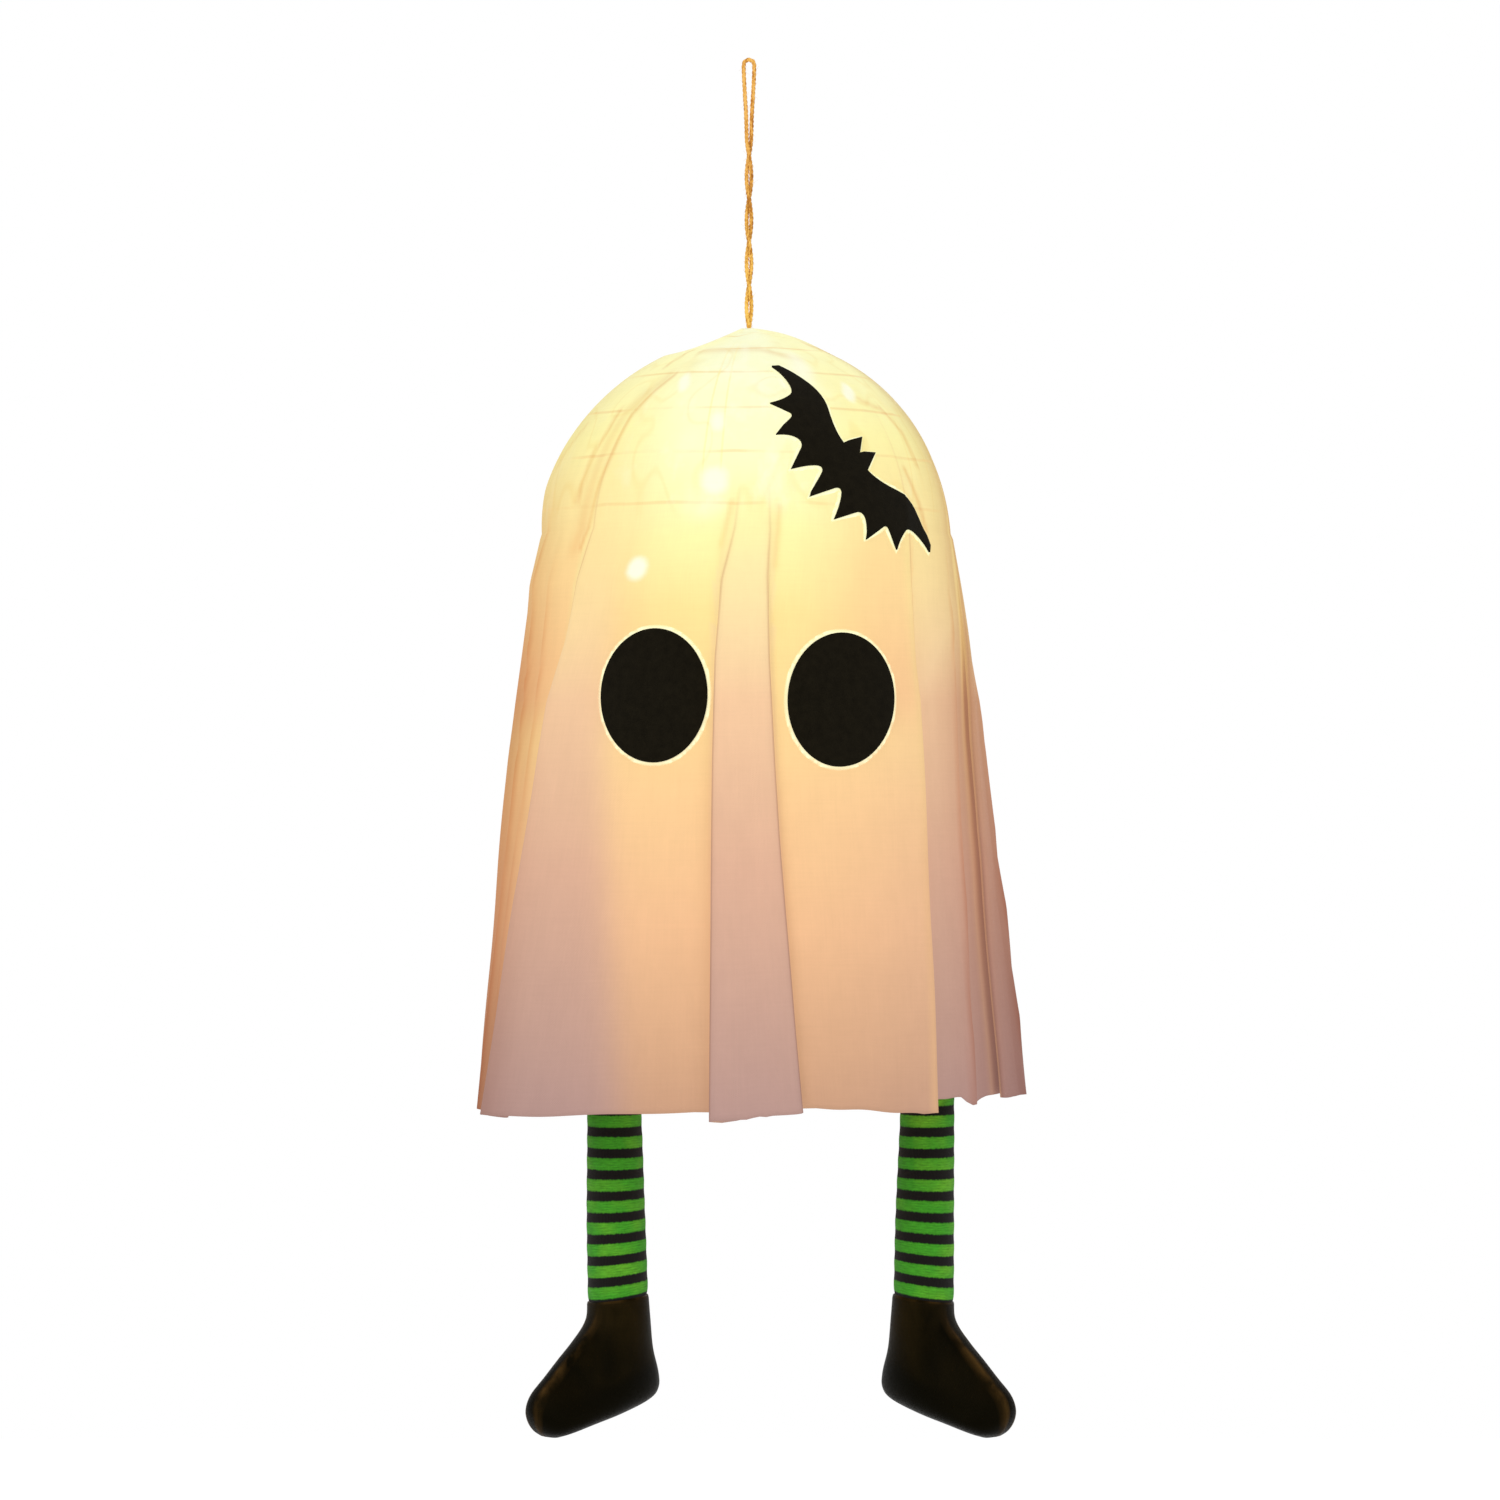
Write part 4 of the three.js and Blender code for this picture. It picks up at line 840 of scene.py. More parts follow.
def boot_material(settings):
    """Coated cloth with a satin sheen: its brown, partly its own colour and partly painted sheen, shows on
    the bends; the seam ridges get painted highlights, and the dent and the underside painted shade.
    """
    made, n, shader = material("boot", specular_ior_level=0.03, specular_tint=linear(255, 226, 170))
    place = n.place()
    cloud = n.noise(n.stretched(place, (1, 1, 0.5)), 42, 4, 0.6)
    low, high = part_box("left_boot")
    down = n.span(n.split(place)[2], low.z + 12 * MM, high.z - 12 * MM)
    black = linear(3, 3, 1)
    # The brown is partly the cloth's own colour and partly painted sheen, more of it higher up.
    brown = n.mix(n.times(n.span(cloud, 0.35, 0.65), down), black, tuple(settings.colour))
    # Painted shade: black over the underside and in the dent.
    colour = n.mix(n.math("MAXIMUM", n.value_of("sole"), n.value_of("dent")), brown, black)
    # Painted highlights along the seam ridges.
    sheen_streak = n.span(n.noise(n.stretched(place, (1, 1, 0.3)), 120, 3), 0.35, 0.6)
    colour = n.mix(n.times(n.value_of("ridge"), sheen_streak, 0.6), colour, linear(112, 82, 40))
    weave = n.group("weave", pitch=0.6 * MM, slub=0.3)
    n.feed(shader["Base Color"], n.shaded(colour, weave["Shade"]))
    n.feed(shader["Roughness"], n.span(cloud, 0.3, 0.7, 0.34, 0.5))
    grain = n.plus(n.times(weave["Height"], 0.4), n.noise(place, 300, 4))
    n.feed(shader["Normal"], n.bump(grain, 0.3, 0.4 * MM))
    return made


def cord_material():
    """White cotton cord."""
    made, n, shader = material("loop_cord", roughness=0.85, specular_ior_level=0.2)
    fibres = n.group("fibres", scale=1400, stretch=0.25)
    n.feed(shader["Base Color"], n.mix(fibres["Mask"], linear(214, 204, 184), linear(244, 238, 224)))
    n.feed(shader["Normal"], n.bump(fibres["Height"], 0.5, 0.3 * MM))
    return made


# Twine loop

TWINE_STEPS = 619  # points of its line
KNOT_RISE = 1.5 * MM  # of the knot's line to both sides of its middle


def twine_route(settings):
    """The twine's line: up one strand from the knot, over the hook and down the other strand."""
    offset = (settings.diameter + settings.gap) / 2
    steps = 30
    top = settings.diameter / 2 - settings.loop_half

    def strand(side):
        points = []
        for i in range(steps + 1):
            part = i / steps
            turn = FULL_TURN * settings.turns * (1 - part)
            height = KNOT_TOP + part * (-settings.split - KNOT_TOP)
            points.append((side * offset * math.cos(turn), side * offset * math.sin(turn), height))
        for part in (0.3, 0.6, 0.85, 1):
            out = offset + part * part * (3 - 2 * part) * (settings.loop_half - offset)
            points.append((side * out, 0, -settings.split + part * (top + settings.split)))
        return points

    arch = []
    for degrees in (45, 90, 135):
        turn = math.radians(degrees)
        arch.append((-settings.loop_half * math.cos(turn), 0, top + settings.loop_half * math.sin(turn)))
    return curve_through([*strand(-1), *arch, *strand(1)[::-1]], TWINE_STEPS)


def knot_line(radius):
    """The line of the stopper knot, an overhand knot that is drawn tight and not quite closed."""
    turn = np.linspace(0, FULL_TURN, 241)[:236]
    scale = (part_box("hang_knot")[1].x - radius) / 3
    middle = KNOT_TOP - radius - KNOT_RISE - 0.2 * MM
    x = scale * (np.sin(turn) + 2 * np.sin(2 * turn))
    y = scale * (np.cos(turn) - 2 * np.cos(2 * turn))
    return np.stack([x, y, middle - KNOT_RISE * np.sin(3 * turn)], 1)


def make_twine(settings, finish):
    path = twine_route(settings)
    radius = settings.diameter / 2
    knot = rope("twine_knot", knot_line(radius), radius, sides=18)
    dress(knot, "twine", finish, "twine", "hang_knot")
    twine = rope("twine_loop", path, radius, lay=settings.lay)
    dress(twine, "twine", finish, "twine", "hang_cord")
    fuzz = loose_fibres("twine_fibres", path, radius, settings.fibres, 3.2 * MM, seed=11)
    dress(fuzz, "twine", finish, "twine")


# Cloth. Heights in its tables are in millimetres from the hook, and below it they are negative.

SIDE_FLARE = [(0, 1), (-0.08, 5.5), (-0.22, 10), (-0.38, 15.5), (-0.58, 21), (-0.79, 26.5), (-1, 31.5)]
FRONT_FLARE = [(0, 0.5), (-0.12, 2.5), (-0.3, 6), (-0.64, 13), (-1, 20)]
LEFT_LEAN = [(0, 0), (-0.08, 2), (-0.4, 2.5), (-1, 1.5)]
PANEL_OPENS = [(-170, 0), (-239, 0.22), (-320, 0.85), (-518, 1)]
PLEAT_OPENS = [(-216, 0), (-250, 0.3), (-300, 0.8), (-518, 1)]


class Fold(NamedTuple):
    """A fold of the cloth. Its track is its angle by height, in degrees."""
    raised: int  # the side that is raised, 1 or -1
    under: int  # how many layers lie under it
    lit: int  # the side with a lit rim, 1 or -1
    width: float  # degrees that the cloth folds under at the hem
    track: list


class Stretch(NamedTuple):
    """The cloth between two folds. Its hem is how much higher the edge is in mm, by share of the way."""
    count: int  # of points
    wave: float  # mm that the cloth waves
    hem: list


class Row(NamedTuple):
    """Where one row of the cloth's points runs, in mm."""
    height: float
    side: float  # half the width
    front: float  # half the depth
    left: float = 0  # lean to the left
    drop: float = 0  # share of the way down the skirt
    tent: float = 1  # share of the way from the peak to the dome


# The folds in order round the cloth, from the left of the back.
FOLDS = [
    Fold(1, 0, 1, 8, [(-200, -156), (-518, -160)]),
    Fold(-1, 0, 1, 8, [(-200, -136), (-518, -126)]),
    Fold(1, 0, -1, 9, [(-156, -37.5), (-176, -45.5), (-244, -49.3), (-291, -50.5), (-322, -54), (-403, -59),
                       (-518, -69)]),
    Fold(1, 1, -1, 7, [(-222, -5), (-264, -7), (-518, -6.6)]),
    Fold(-1, 1, 1, 7, [(-222, 8), (-300, 6), (-386, 7.4), (-518, 10.5)]),
    Fold(-1, 0, -1, 9, [(-235, 51.5), (-301, 47.2), (-391, 45), (-518, 41.7)]),
    Fold(1, 0, -1, 8, [(-280, 84), (-307, 79), (-384, 71), (-518, 66)]),
    Fold(-1, 0, 1, 8, [(-200, 122), (-518, 132)]),
]
# What follows each fold.
STRETCHES = [
    Stretch(12, 0.8, [(0, 2), (1, -1)]),
    Stretch(44, 1.2, [(0, 0), (1, -4.5)]),
    Stretch(26, 0.3, [(0, -4), (1, 3.3)]),
    Stretch(4, 0, [(0, 0.4), (1, 2.3)]),
    Stretch(22, 0.3, [(0, 5), (1, 1)]),
    Stretch(14, 0.8, [(0, 6.2), (0.42, 6), (0.5, 2.3), (1, 5.5)]),
    Stretch(22, 1.0, [(0, 4), (1, -0.5)]),
    Stretch(34, 1.8, [(0, -0.5), (1, 3)]),
]
# The run of the cloth through a fold, from its low side to its raised side: degrees while it is still flat,
# fixed degrees and shares of the under-fold once it is folded, and the share of the lift. The crest is the
# point on the folded edge.
FOLD_POINTS = 16
FOLD_FLAT = np.linspace(-5.5, 5.5, FOLD_POINTS)
FOLD_FIXED = np.array([-3.4, -1.5, -0.6, 0, 0, 0, 0, 0, 0, 0, 0.1, -0.12, 0.25, 1.2, 3, 5.5])
FOLD_SHARE = np.array([0, 0, 0, 0.3, 0.75, 0.97, 1, 0.97, 0.7, 0.3, 0.05, 0, 0, 0, 0, 0])
FOLD_LIFT = np.array([0, 0, 0.02, 0.05, 0.08, 0.18, 0.3, 0.42, 0.48, 0.54, 0.62, 0.8, 0.98, 1.05, 1.03, 1])
CREST = 11

# Narrow ridges between the folds: angle by height, height of the ridge in mm by height, and half its width.
RIDGES = [
    ([(-230, -73), (-349, -70), (-518, -80)], [(-215, 0), (-260, 2.6), (-518, 3.2)], 3.2),
    ([(-250, -62), (-340, -63.5), (-518, -76)], [(-235, 0), (-280, 1.5), (-518, 1.2)], 2.4),
    ([(-250, 73), (-380, 62), (-518, 55)], [(-240, 0), (-290, 2.2), (-518, 3.4)], 3.2),
    ([(-300, 95), (-518, 82)], [(-280, 0), (-330, 2.8), (-518, 4)], 4),
    ([(-190, -100), (-518, -104)], [(-180, 0), (-280, 2.5), (-518, 5)], 6),
    ([(-240, 168), (-518, 172)], [(-220, 0), (-320, 3), (-518, 6)], 7),
    ([(-160, 60), (-230, 62)], [(-158, 0), (-185, 0.7), (-232, 0)], 1.8),
]
# Painted shade of the creases on the dome: strength, half the width in mm, and pixels of the photograph that
# they pass.
DOME_CREASE_SHADES = [
    (0.85, 1.3, [(676, 375), (655, 392), (634, 415), (615, 455), (603, 484), (594, 518), (588, 549)]),
    (0.4, 3.6, [(668, 378), (628, 412), (597, 480), (582, 549)]),
    (0.75, 1.5, [(622, 411), (610, 432), (597, 453), (588, 480), (580, 503)]),
    (0.7, 1.5, [(690, 352), (668, 366)]), (0.7, 1.5, [(800, 345), (838, 358)]),
    (0.4, 1.5, [(562, 470), (574, 447), (590, 425)]), (0.7, 1.5, [(880, 408), (902, 432), (918, 466)]),
    (0.6, 1.5, [(858, 400), (884, 412)]), (0.7, 1.5, [(905, 470), (918, 500), (926, 530)]),
    (0.5, 1.5, [(700, 352), (760, 350), (800, 361)]),
    (0.5, 1.2, [(733, 500), (727, 525), (724, 548)]), (0.5, 1.2, [(779, 508), (776, 540), (775, 568)]),
]
# Painted glow where a lamp lies close behind the paper: a pixel of the photograph, half the spot's width in
# mm and its strength.
LAMP_GLOW_SPOTS = [
    (650, 566, 5.5, 1.1), (715, 478, 7.5, 1.0), (685, 380, 5, 0.95), (718, 419, 5, 0.9), (787, 376, 6, 1.1),
    (848, 390, 5, 1.0), (800, 366, 12, 0.8), (700, 500, 17, 0.55), (745, 350, 9, 0.6), (690, 440, 14, 0.5),
]
LESS_RIGHT = [(-150, 0), (-200, 1.8), (-240, 1.6), (-300, 2.4), (-340, 4), (-420, 3.8), (-470, 2.6),
              (-518, 1)]  # mm that the cloth stands out less on the right, by height
EXTRA_LEFT = 3.2  # mm that the cloth stands out further on the left of the dome
LEFT_PANEL_EDGE = [(-300, -34), (-358, -32.3), (-518, -25.4)]  # angle by height where the doubled cloth ends
MARK_RADIUS = 0.85 * PAPER_RADIUS / MM  # that turns the angles between marks into lengths


def along(pairs, height):
    heights, values = zip(*pairs)
    return float(np.interp(-height, [-h for h in heights], values))


def by_row(pairs, rows):
    """The value of a table at each row's height, as a column."""
    return np.array([[along(pairs, row.height)] for row in rows])


def opening(fold, height):
    """How far a fold has opened at a height, from 0 to 1."""
    return along(PLEAT_OPENS if fold.under else PANEL_OPENS, height)


def cloth_section(height, lift):
    """Angle and distance out of each point round the cloth at one height, in degrees and mm."""
    angles, outs = [], []
    panel, pleat = along(PANEL_OPENS, height), along(PLEAT_OPENS, height)

    def level(layers):
        return lift * (min(layers, 1) * panel + max(layers - 1, 0) * pleat)

    for k, (fold, stretch) in enumerate(zip(FOLDS, STRETCHES)):
        share = opening(fold, height)
        folded = FOLD_FIXED + FOLD_SHARE * fold.width * share
        offset = fold.raised * ((1 - share) * FOLD_FLAT + share * folded)
        out = level(fold.under) + FOLD_LIFT * (level(fold.under + 1) - level(fold.under))
        if fold.raised < 0:
            offset, out = offset[::-1], out[::-1]
        angle = along(fold.track, height) + offset
        angles.extend(angle)
        outs.extend(out)
        last = k + 1 == len(FOLDS)
        after = FOLDS[0 if last else k + 1]
        lead = -FOLD_FLAT[-1]
        if after.raised > 0:
            ahead = opening(after, height)
            lead = FOLD_FLAT[0] * (1 - ahead) + FOLD_FIXED[0] * ahead
        stop = along(after.track, height) + lead + (360 if last else 0)
        part = np.arange(1, stretch.count + 1) / (stretch.count + 1)
        angles.extend(angle[-1] + part * (stop - angle[-1]))
        ripple = stretch.wave * panel * np.sin(np.pi * part) * np.sin(part * 3.1 * np.pi + k * 1.7)
        outs.extend(level(fold.under + 1 if fold.raised > 0 else fold.under) + ripple)
    return np.array(angles), np.array(outs)


def hem_steps():
    """How much higher the hem is at each point, in mm. It runs straight on over a raised fold."""
    low, high = -FOLD_FIXED[0], FOLD_FIXED[-1]
    starts = [fold.track[-1][1] + (high if fold.raised > 0 else low) for fold in FOLDS]
    stops = [fold.track[-1][1] - (low if fold.raised > 0 else high) for fold in FOLDS]
    stops = [*stops[1:], stops[0] + 360]
    found = []
    for k, (fold, stretch) in enumerate(zip(FOLDS, STRETCHES)):
        hem, last = stretch.hem, STRETCHES[k - 1].hem
        part = np.linspace(0, 1, FOLD_POINTS)
        if fold.raised > 0:
            slope = (hem[1][1] - hem[0][1]) / (hem[1][0] * (stops[k] - starts[k]))
            crest = hem[0][1] - slope * high
            found.extend(np.interp(part, [0, 0.3, 0.6, 1], [last[-1][1], last[-1][1], crest, hem[0][1]]))
        else:
            slope = (last[-1][1] - last[-2][1]) / ((1 - last[-2][0]) * (stops[k - 1] - starts[k - 1]))
            crest = last[-1][1] + slope * high
            found.extend(np.interp(part, [0, 0.4, 0.7, 1], [last[-1][1], crest, hem[0][1], hem[0][1]]))
        inner = np.arange(1, stretch.count + 1) / (stretch.count + 1)
        found.extend(np.interp(inner, *zip(*hem)) + 0.5 * np.sin(inner * np.pi) * np.sin(inner * 9 + k))
    return np.array(found)


def cloth_rows():
    """The rows of the cloth: from the peak to the dome, over the dome and down the skirt."""
    middle, peak, hem, skin = (length / MM for length in (LANTERN.z, PEAK, HEM, CLOTH_RADIUS))
    shoulder = math.radians(64)
    neck, run = 4.2, skin * math.cos(shoulder)
    top, bottom = peak - 0.4, middle + skin * math.sin(shoulder)
    rows = []
    for part in np.linspace(0, 1, 14, endpoint=False):
        reach = neck + part * (run - neck)
        rows.append(Row(top + part * (bottom - top), reach, reach, tent=part))
    for latitude in np.linspace(shoulder, 0, 42, endpoint=False):
        level = skin * math.cos(latitude)
        rows.append(Row(middle + skin * math.sin(latitude), level, level))
    for drop in np.linspace(0, 1, 84):
        side, front, left = (along(table, -drop) for table in (SIDE_FLARE, FRONT_FLARE, LEFT_LEAN))
        rows.append(Row(middle + drop * (hem - middle), skin + side, skin + front, left, drop))
    return rows


def photo_angle(px, py):
    """Angle round the dome and height of a pixel of the photograph that shows the dome, in degrees and mm."""
    radius, distance = CLOTH_RADIUS / MM, VIEW_DISTANCE / MM
    depth = radius
    for _ in range(6):
        scale = PHOTO_SIZE * MM / VIEW_WIDTH * distance / (distance - depth)
        x = (px - PHOTO_SIZE / 2) / scale + VIEW_ASIDE / MM
        height = (PHOTO_SIZE / 2 - py) / scale + VIEW_HEIGHT / MM
        level = math.sqrt(max(radius**2 - (height - LANTERN.z / MM) ** 2, 1))
        depth = math.sqrt(max(level**2 - x**2, 0))
    return math.degrees(math.atan2(x, depth)), height


def cloth_points(rows, lift):
    """Each point of the cloth in mm, and its angle round the lantern in degrees."""
    grid, angles = [], []
    steps = hem_steps()
    for row in rows:
        height = row.height
        angle, out = cloth_section(height, lift)
        turn = np.radians(angle)
        swell = math.sin(math.pi * row.tent) if row.tent < 1 else 0
        bulge = swell * (1.8 * np.sin(turn) + 0.4 + 0.5 * np.sin(7 * turn + 0.6))
        dome = max(0.0, 1 - abs(height + 214) / 62) if row.drop < 0.25 else 0
        out = out + EXTRA_LEFT * dome * bell(wrapped(angle + 90), 48)
        out = out - along(LESS_RIGHT, height) * bell(wrapped(angle - 90), 42)
        for track, rise, half in RIDGES:
            away = np.abs(wrapped(angle - along(track, height)))
            out = out + along(rise, height) * np.maximum(1 - away / half, 0) ** 1.6
        out = out + 0.25 * np.sin(5 * turn + height / 23) + 0.18 * np.sin(9 * turn - height / 14)
        x = (row.side + out) * np.sin(turn) - row.left
        y = -(row.front + out) * np.cos(turn)
        grid.append(np.stack([x, y, height + bulge + steps * row.drop**3], 1))
        angles.append(angle)
    return np.array(grid), np.array(angles)


def line_mask(angles, heights, track, half):
    """How near each point is to a line drawn on the cloth, with its half width in mm."""
    found = np.zeros(angles.shape)
    places = np.stack([np.radians(angles) * MARK_RADIUS, heights], 2)
    line = np.array([(math.radians(angle) * MARK_RADIUS, height) for angle, height in track])
    for a, b in zip(line, line[1:]):
        share = np.clip(((places - a) @ (b - a)) / ((b - a) @ (b - a)), 0, 1)
        away = np.linalg.norm(places - (a + share[..., None] * (b - a)), axis=2)
        found = np.maximum(found, bell(away, half))
    return found


def fold_shade_and_rim_light(grid, rows):
    """Painted shade along the line of each fold, and a painted highlight on the lit rim beside it."""
    crease, rim = np.zeros(grid.shape[:2]), np.zeros(grid.shape[:2])
    order = np.arange(grid.shape[1])
    start = 0
    for fold, stretch in zip(FOLDS, STRETCHES):
        crest = start + (CREST if fold.raised > 0 else FOLD_POINTS - 1 - CREST)
        start += FOLD_POINTS + stretch.count
        away = np.linalg.norm(grid - grid[:, crest][:, None], axis=2)
        show = np.array([[min(opening(fold, row.height) * 3.2, 1)] for row in rows])
        crease = np.maximum(crease, show * bell(away, 0.8))
        rim = np.maximum(rim, show * bell(away - 2.8, 2.8) * ((order - crest) * fold.lit > 0))
    return crease, rim


def wrinkle_shade_marks(turn, heights, rows):
    """Painted shade in the creases on the dome and along the edges of the ridges."""
    wrinkle = np.zeros(turn.shape)
    for strength, half, pixels in DOME_CREASE_SHADES:
        places = [photo_angle(*pixel) for pixel in pixels]
        wrinkle = np.maximum(wrinkle, strength * line_mask(turn, heights, places, half))
    for track, rise, _ in RIDGES:
        strength = np.minimum(by_row(rise, rows) / 2.5, 0.85)
        away = wrapped(turn - by_row(track, rows))
        wrinkle = np.maximum(wrinkle, strength * bell(away * 2.1, 1.8))
    return wrinkle


def shade_marks(turn, heights, rows):
    """Painted shade where layers dim the light, where the cloth turns to its sides, and where the dome is
    seen aslant.
    """
    drop = np.clip((-heights - 200) / 120, 0, 1)
    first, pleat_left, pleat_right, right = (by_row(FOLDS[k].track, rows) for k in (2, 3, 4, 5))
    panel = (1 - rising(turn, by_row(LEFT_PANEL_EDGE, rows), 2.2)) * (turn > first - 0.3)
    pleat = ((turn > pleat_left - 0.3) & (turn < pleat_right + 0.3)) * np.clip((-heights - 208) / 45, 0, 1)
    bundle = (turn > right + 0.2) * (1 + 0.55 * rising(turn, right + 14, 5)) * (1 - eased(turn, 86, 120))
    panel_shade = 0.35 * rising(turn, 32, 8) * (turn < right)
    back = 0.5 * eased(np.abs(turn), 92, 124)
    veil = np.maximum(pleat, drop * np.maximum.reduce([panel, bundle, panel_shade, back]))
    # Painted shade towards the sides of the cloth.
    left_side = eased(-turn, 48, 84) * (0.35 + 0.65 * drop) * 0.8
    right_side = eased(turn, 54, 88) * (0.75 - 0.25 * drop)
    side = np.where(turn < 0, left_side, right_side) * (1 - eased(np.abs(turn), 90, 124))
    # Painted shade where the dome is seen aslant.
    limb = eased(np.abs(turn + 3), 12, 42) * eased(heights, -345, -315)
    return veil, side, limb


def lamp_glow_marks(grid, turn):
    """The painted bright spots of the lamps: behind by their places, and in front as the photograph shows
    them.
    """
    hot = np.zeros(turn.shape)
    for name in LAMPS:
        away = np.linalg.norm(grid - np.array(middle_of(name)) / MM, axis=2)
        hot = np.maximum(hot, 1.2 * bell(away, 8.5) * eased(np.abs(turn), 70, 90))
    for px, py, half, strength in LAMP_GLOW_SPOTS:
        spot = [photo_angle(px, py), photo_angle(px, py + 6)]
        hot = np.maximum(hot, strength * line_mask(turn, grid[..., 2], spot, half))
    return hot


def make_cloth(settings, finish):
    rows = cloth_rows()
    grid, angles = cloth_points(rows, settings.lift / MM)
    cloth = loft("ghost_cloth_sheet", grid * MM, capped=False)
    turn, heights = wrapped(angles), grid[..., 2]
    # Painted light and shade for the cloth's material, one value per point: doubled layers, sides, the dome
    # seen aslant, fold lines with lit rims, wrinkles and lamp spots.
    veil, side, limb = shade_marks(turn, heights, rows)
    crease, rim = fold_shade_and_rim_light(grid, rows)
    marks = {"veil": veil, "crease": crease, "rim": rim, "wrinkle": wrinkle_shade_marks(turn, heights, rows),
             "hot": lamp_glow_marks(grid, turn), "side": side, "limb": limb}
    for name, values in marks.items():
        mark(cloth, name, values)
    sheet = cloth.modifiers.new("thickness", "SOLIDIFY")
    sheet.thickness, sheet.offset, sheet.use_even_offset = settings.thickness, 0, False
    dress(cloth, "ghost", finish, "cloth", "ghost_cloth")


def declare_sheet(cloth, patches):
    """Reads the cloth's points as rows and does nothing more with them; the patches are not used."""
    grid = np.array([v.co for v in cloth.data.vertices]).reshape(len(cloth_rows()), -1, 3)


# Felt

# Half of the bat as it is cut, in mm: the wing to the right, the ears up. The other half is its mirror image.
BAT_HALF = [
    [(0, 7.2)], [(4.9, 15.4)], [(8.6, 3.9)], [(16, 4.8), (25.5, 13)], [(32.5, 19), (42.2, 19.8)],
    [(52, 20.6), (60, 20.4)], [(62.4, 17.6)], [(55.5, 16), (49.5, 12.4)], [(43.8, 9.2), (43.6, 5)],
    [(43.8, -0.5), (47.2, -6.4)], [(37, -4)], [(34.9, -3.5), (34.4, -7)], [(33.2, -19.2)],
    [(29, -13.6), (25, -12.8)], [(21.8, -12.2), (20.4, -15)], [(15.8, -27.5)], [(11.5, -18.5), (8.4, -15.6)],
    [(6, -13.8), (4.8, -17)], [(0, -30.1)],
]


def bat_outline():
    half = [np.array(BAT_HALF[0][0], float)]
    for stroke in BAT_HALF[1:]:
        start, end = half[-1], np.array(stroke[-1], float)
        if len(stroke) == 1:
            half.append(end)
            continue
        bend = np.array(stroke[0], float)
        for t in np.linspace(0, 1, 7)[1:]:
            half.append((1 - t) ** 2 * start + 2 * t * (1 - t) * bend + t**2 * end)
    half = np.array(half)
    other = half[1:-1][::-1] * [-1, 1]
    return np.vstack([half, other])[::-1] * MM


def oval_outline(settings):
    """The rim of an eye, leaning by its tilt."""
    turn, tilt = np.linspace(0, FULL_TURN, 96, endpoint=False), settings.eye_tilt
    oval = np.stack([settings.eye_width / 2 * np.cos(turn), settings.eye_height / 2 * np.sin(turn)], 1)
    return oval @ np.array([[math.cos(tilt), -math.sin(tilt)], [math.sin(tilt), math.cos(tilt)]])


def grown(outline, by):
    """The outline moved out by a distance, its sharp corners held in."""
    back, on = outline - np.roll(outline, 1, 0), np.roll(outline, -1, 0) - outline
    tangents = back / np.linalg.norm(back, axis=1)[:, None] + on / np.linalg.norm(on, axis=1)[:, None]
    tangents /= np.linalg.norm(tangents, axis=1)[:, None] + 1e-9
    normals = np.stack([tangents[:, 1], -tangents[:, 0]], 1)
    return outline + normals * by


def cut_felt(name, outline, lay, thickness, spacing=2.2 * MM):
    """A flat cut, filled with points and laid on the cloth, then given its thickness and soft edges."""
    low, high = outline.min(0), outline.max(0)
    grid = [(x, y) for x in np.arange(low[0], high[0], spacing) for y in np.arange(low[1], high[1], spacing)]
    points = [Vector(p) for p in [*outline, *grid]]
    rim = list(range(len(outline)))
    flat, _, faces, *_ = delaunay_2d_cdt(points, [], [rim], 1, 1e-7)
    used = sorted({index for face in faces for index in face})
    place = {index: k for k, index in enumerate(used)}
    laid = [lay(flat[index].x, flat[index].y) for index in used]
    piece = mesh_object(name, laid, [[place[index] for index in face] for face in faces])
    mark(piece, "inside", [index >= len(outline) for index in used])
    body = piece.modifiers.new("thickness", "SOLIDIFY")
    body.thickness, body.offset = thickness, 1
    bevelled(piece, thickness * 0.3, 50)
    return piece


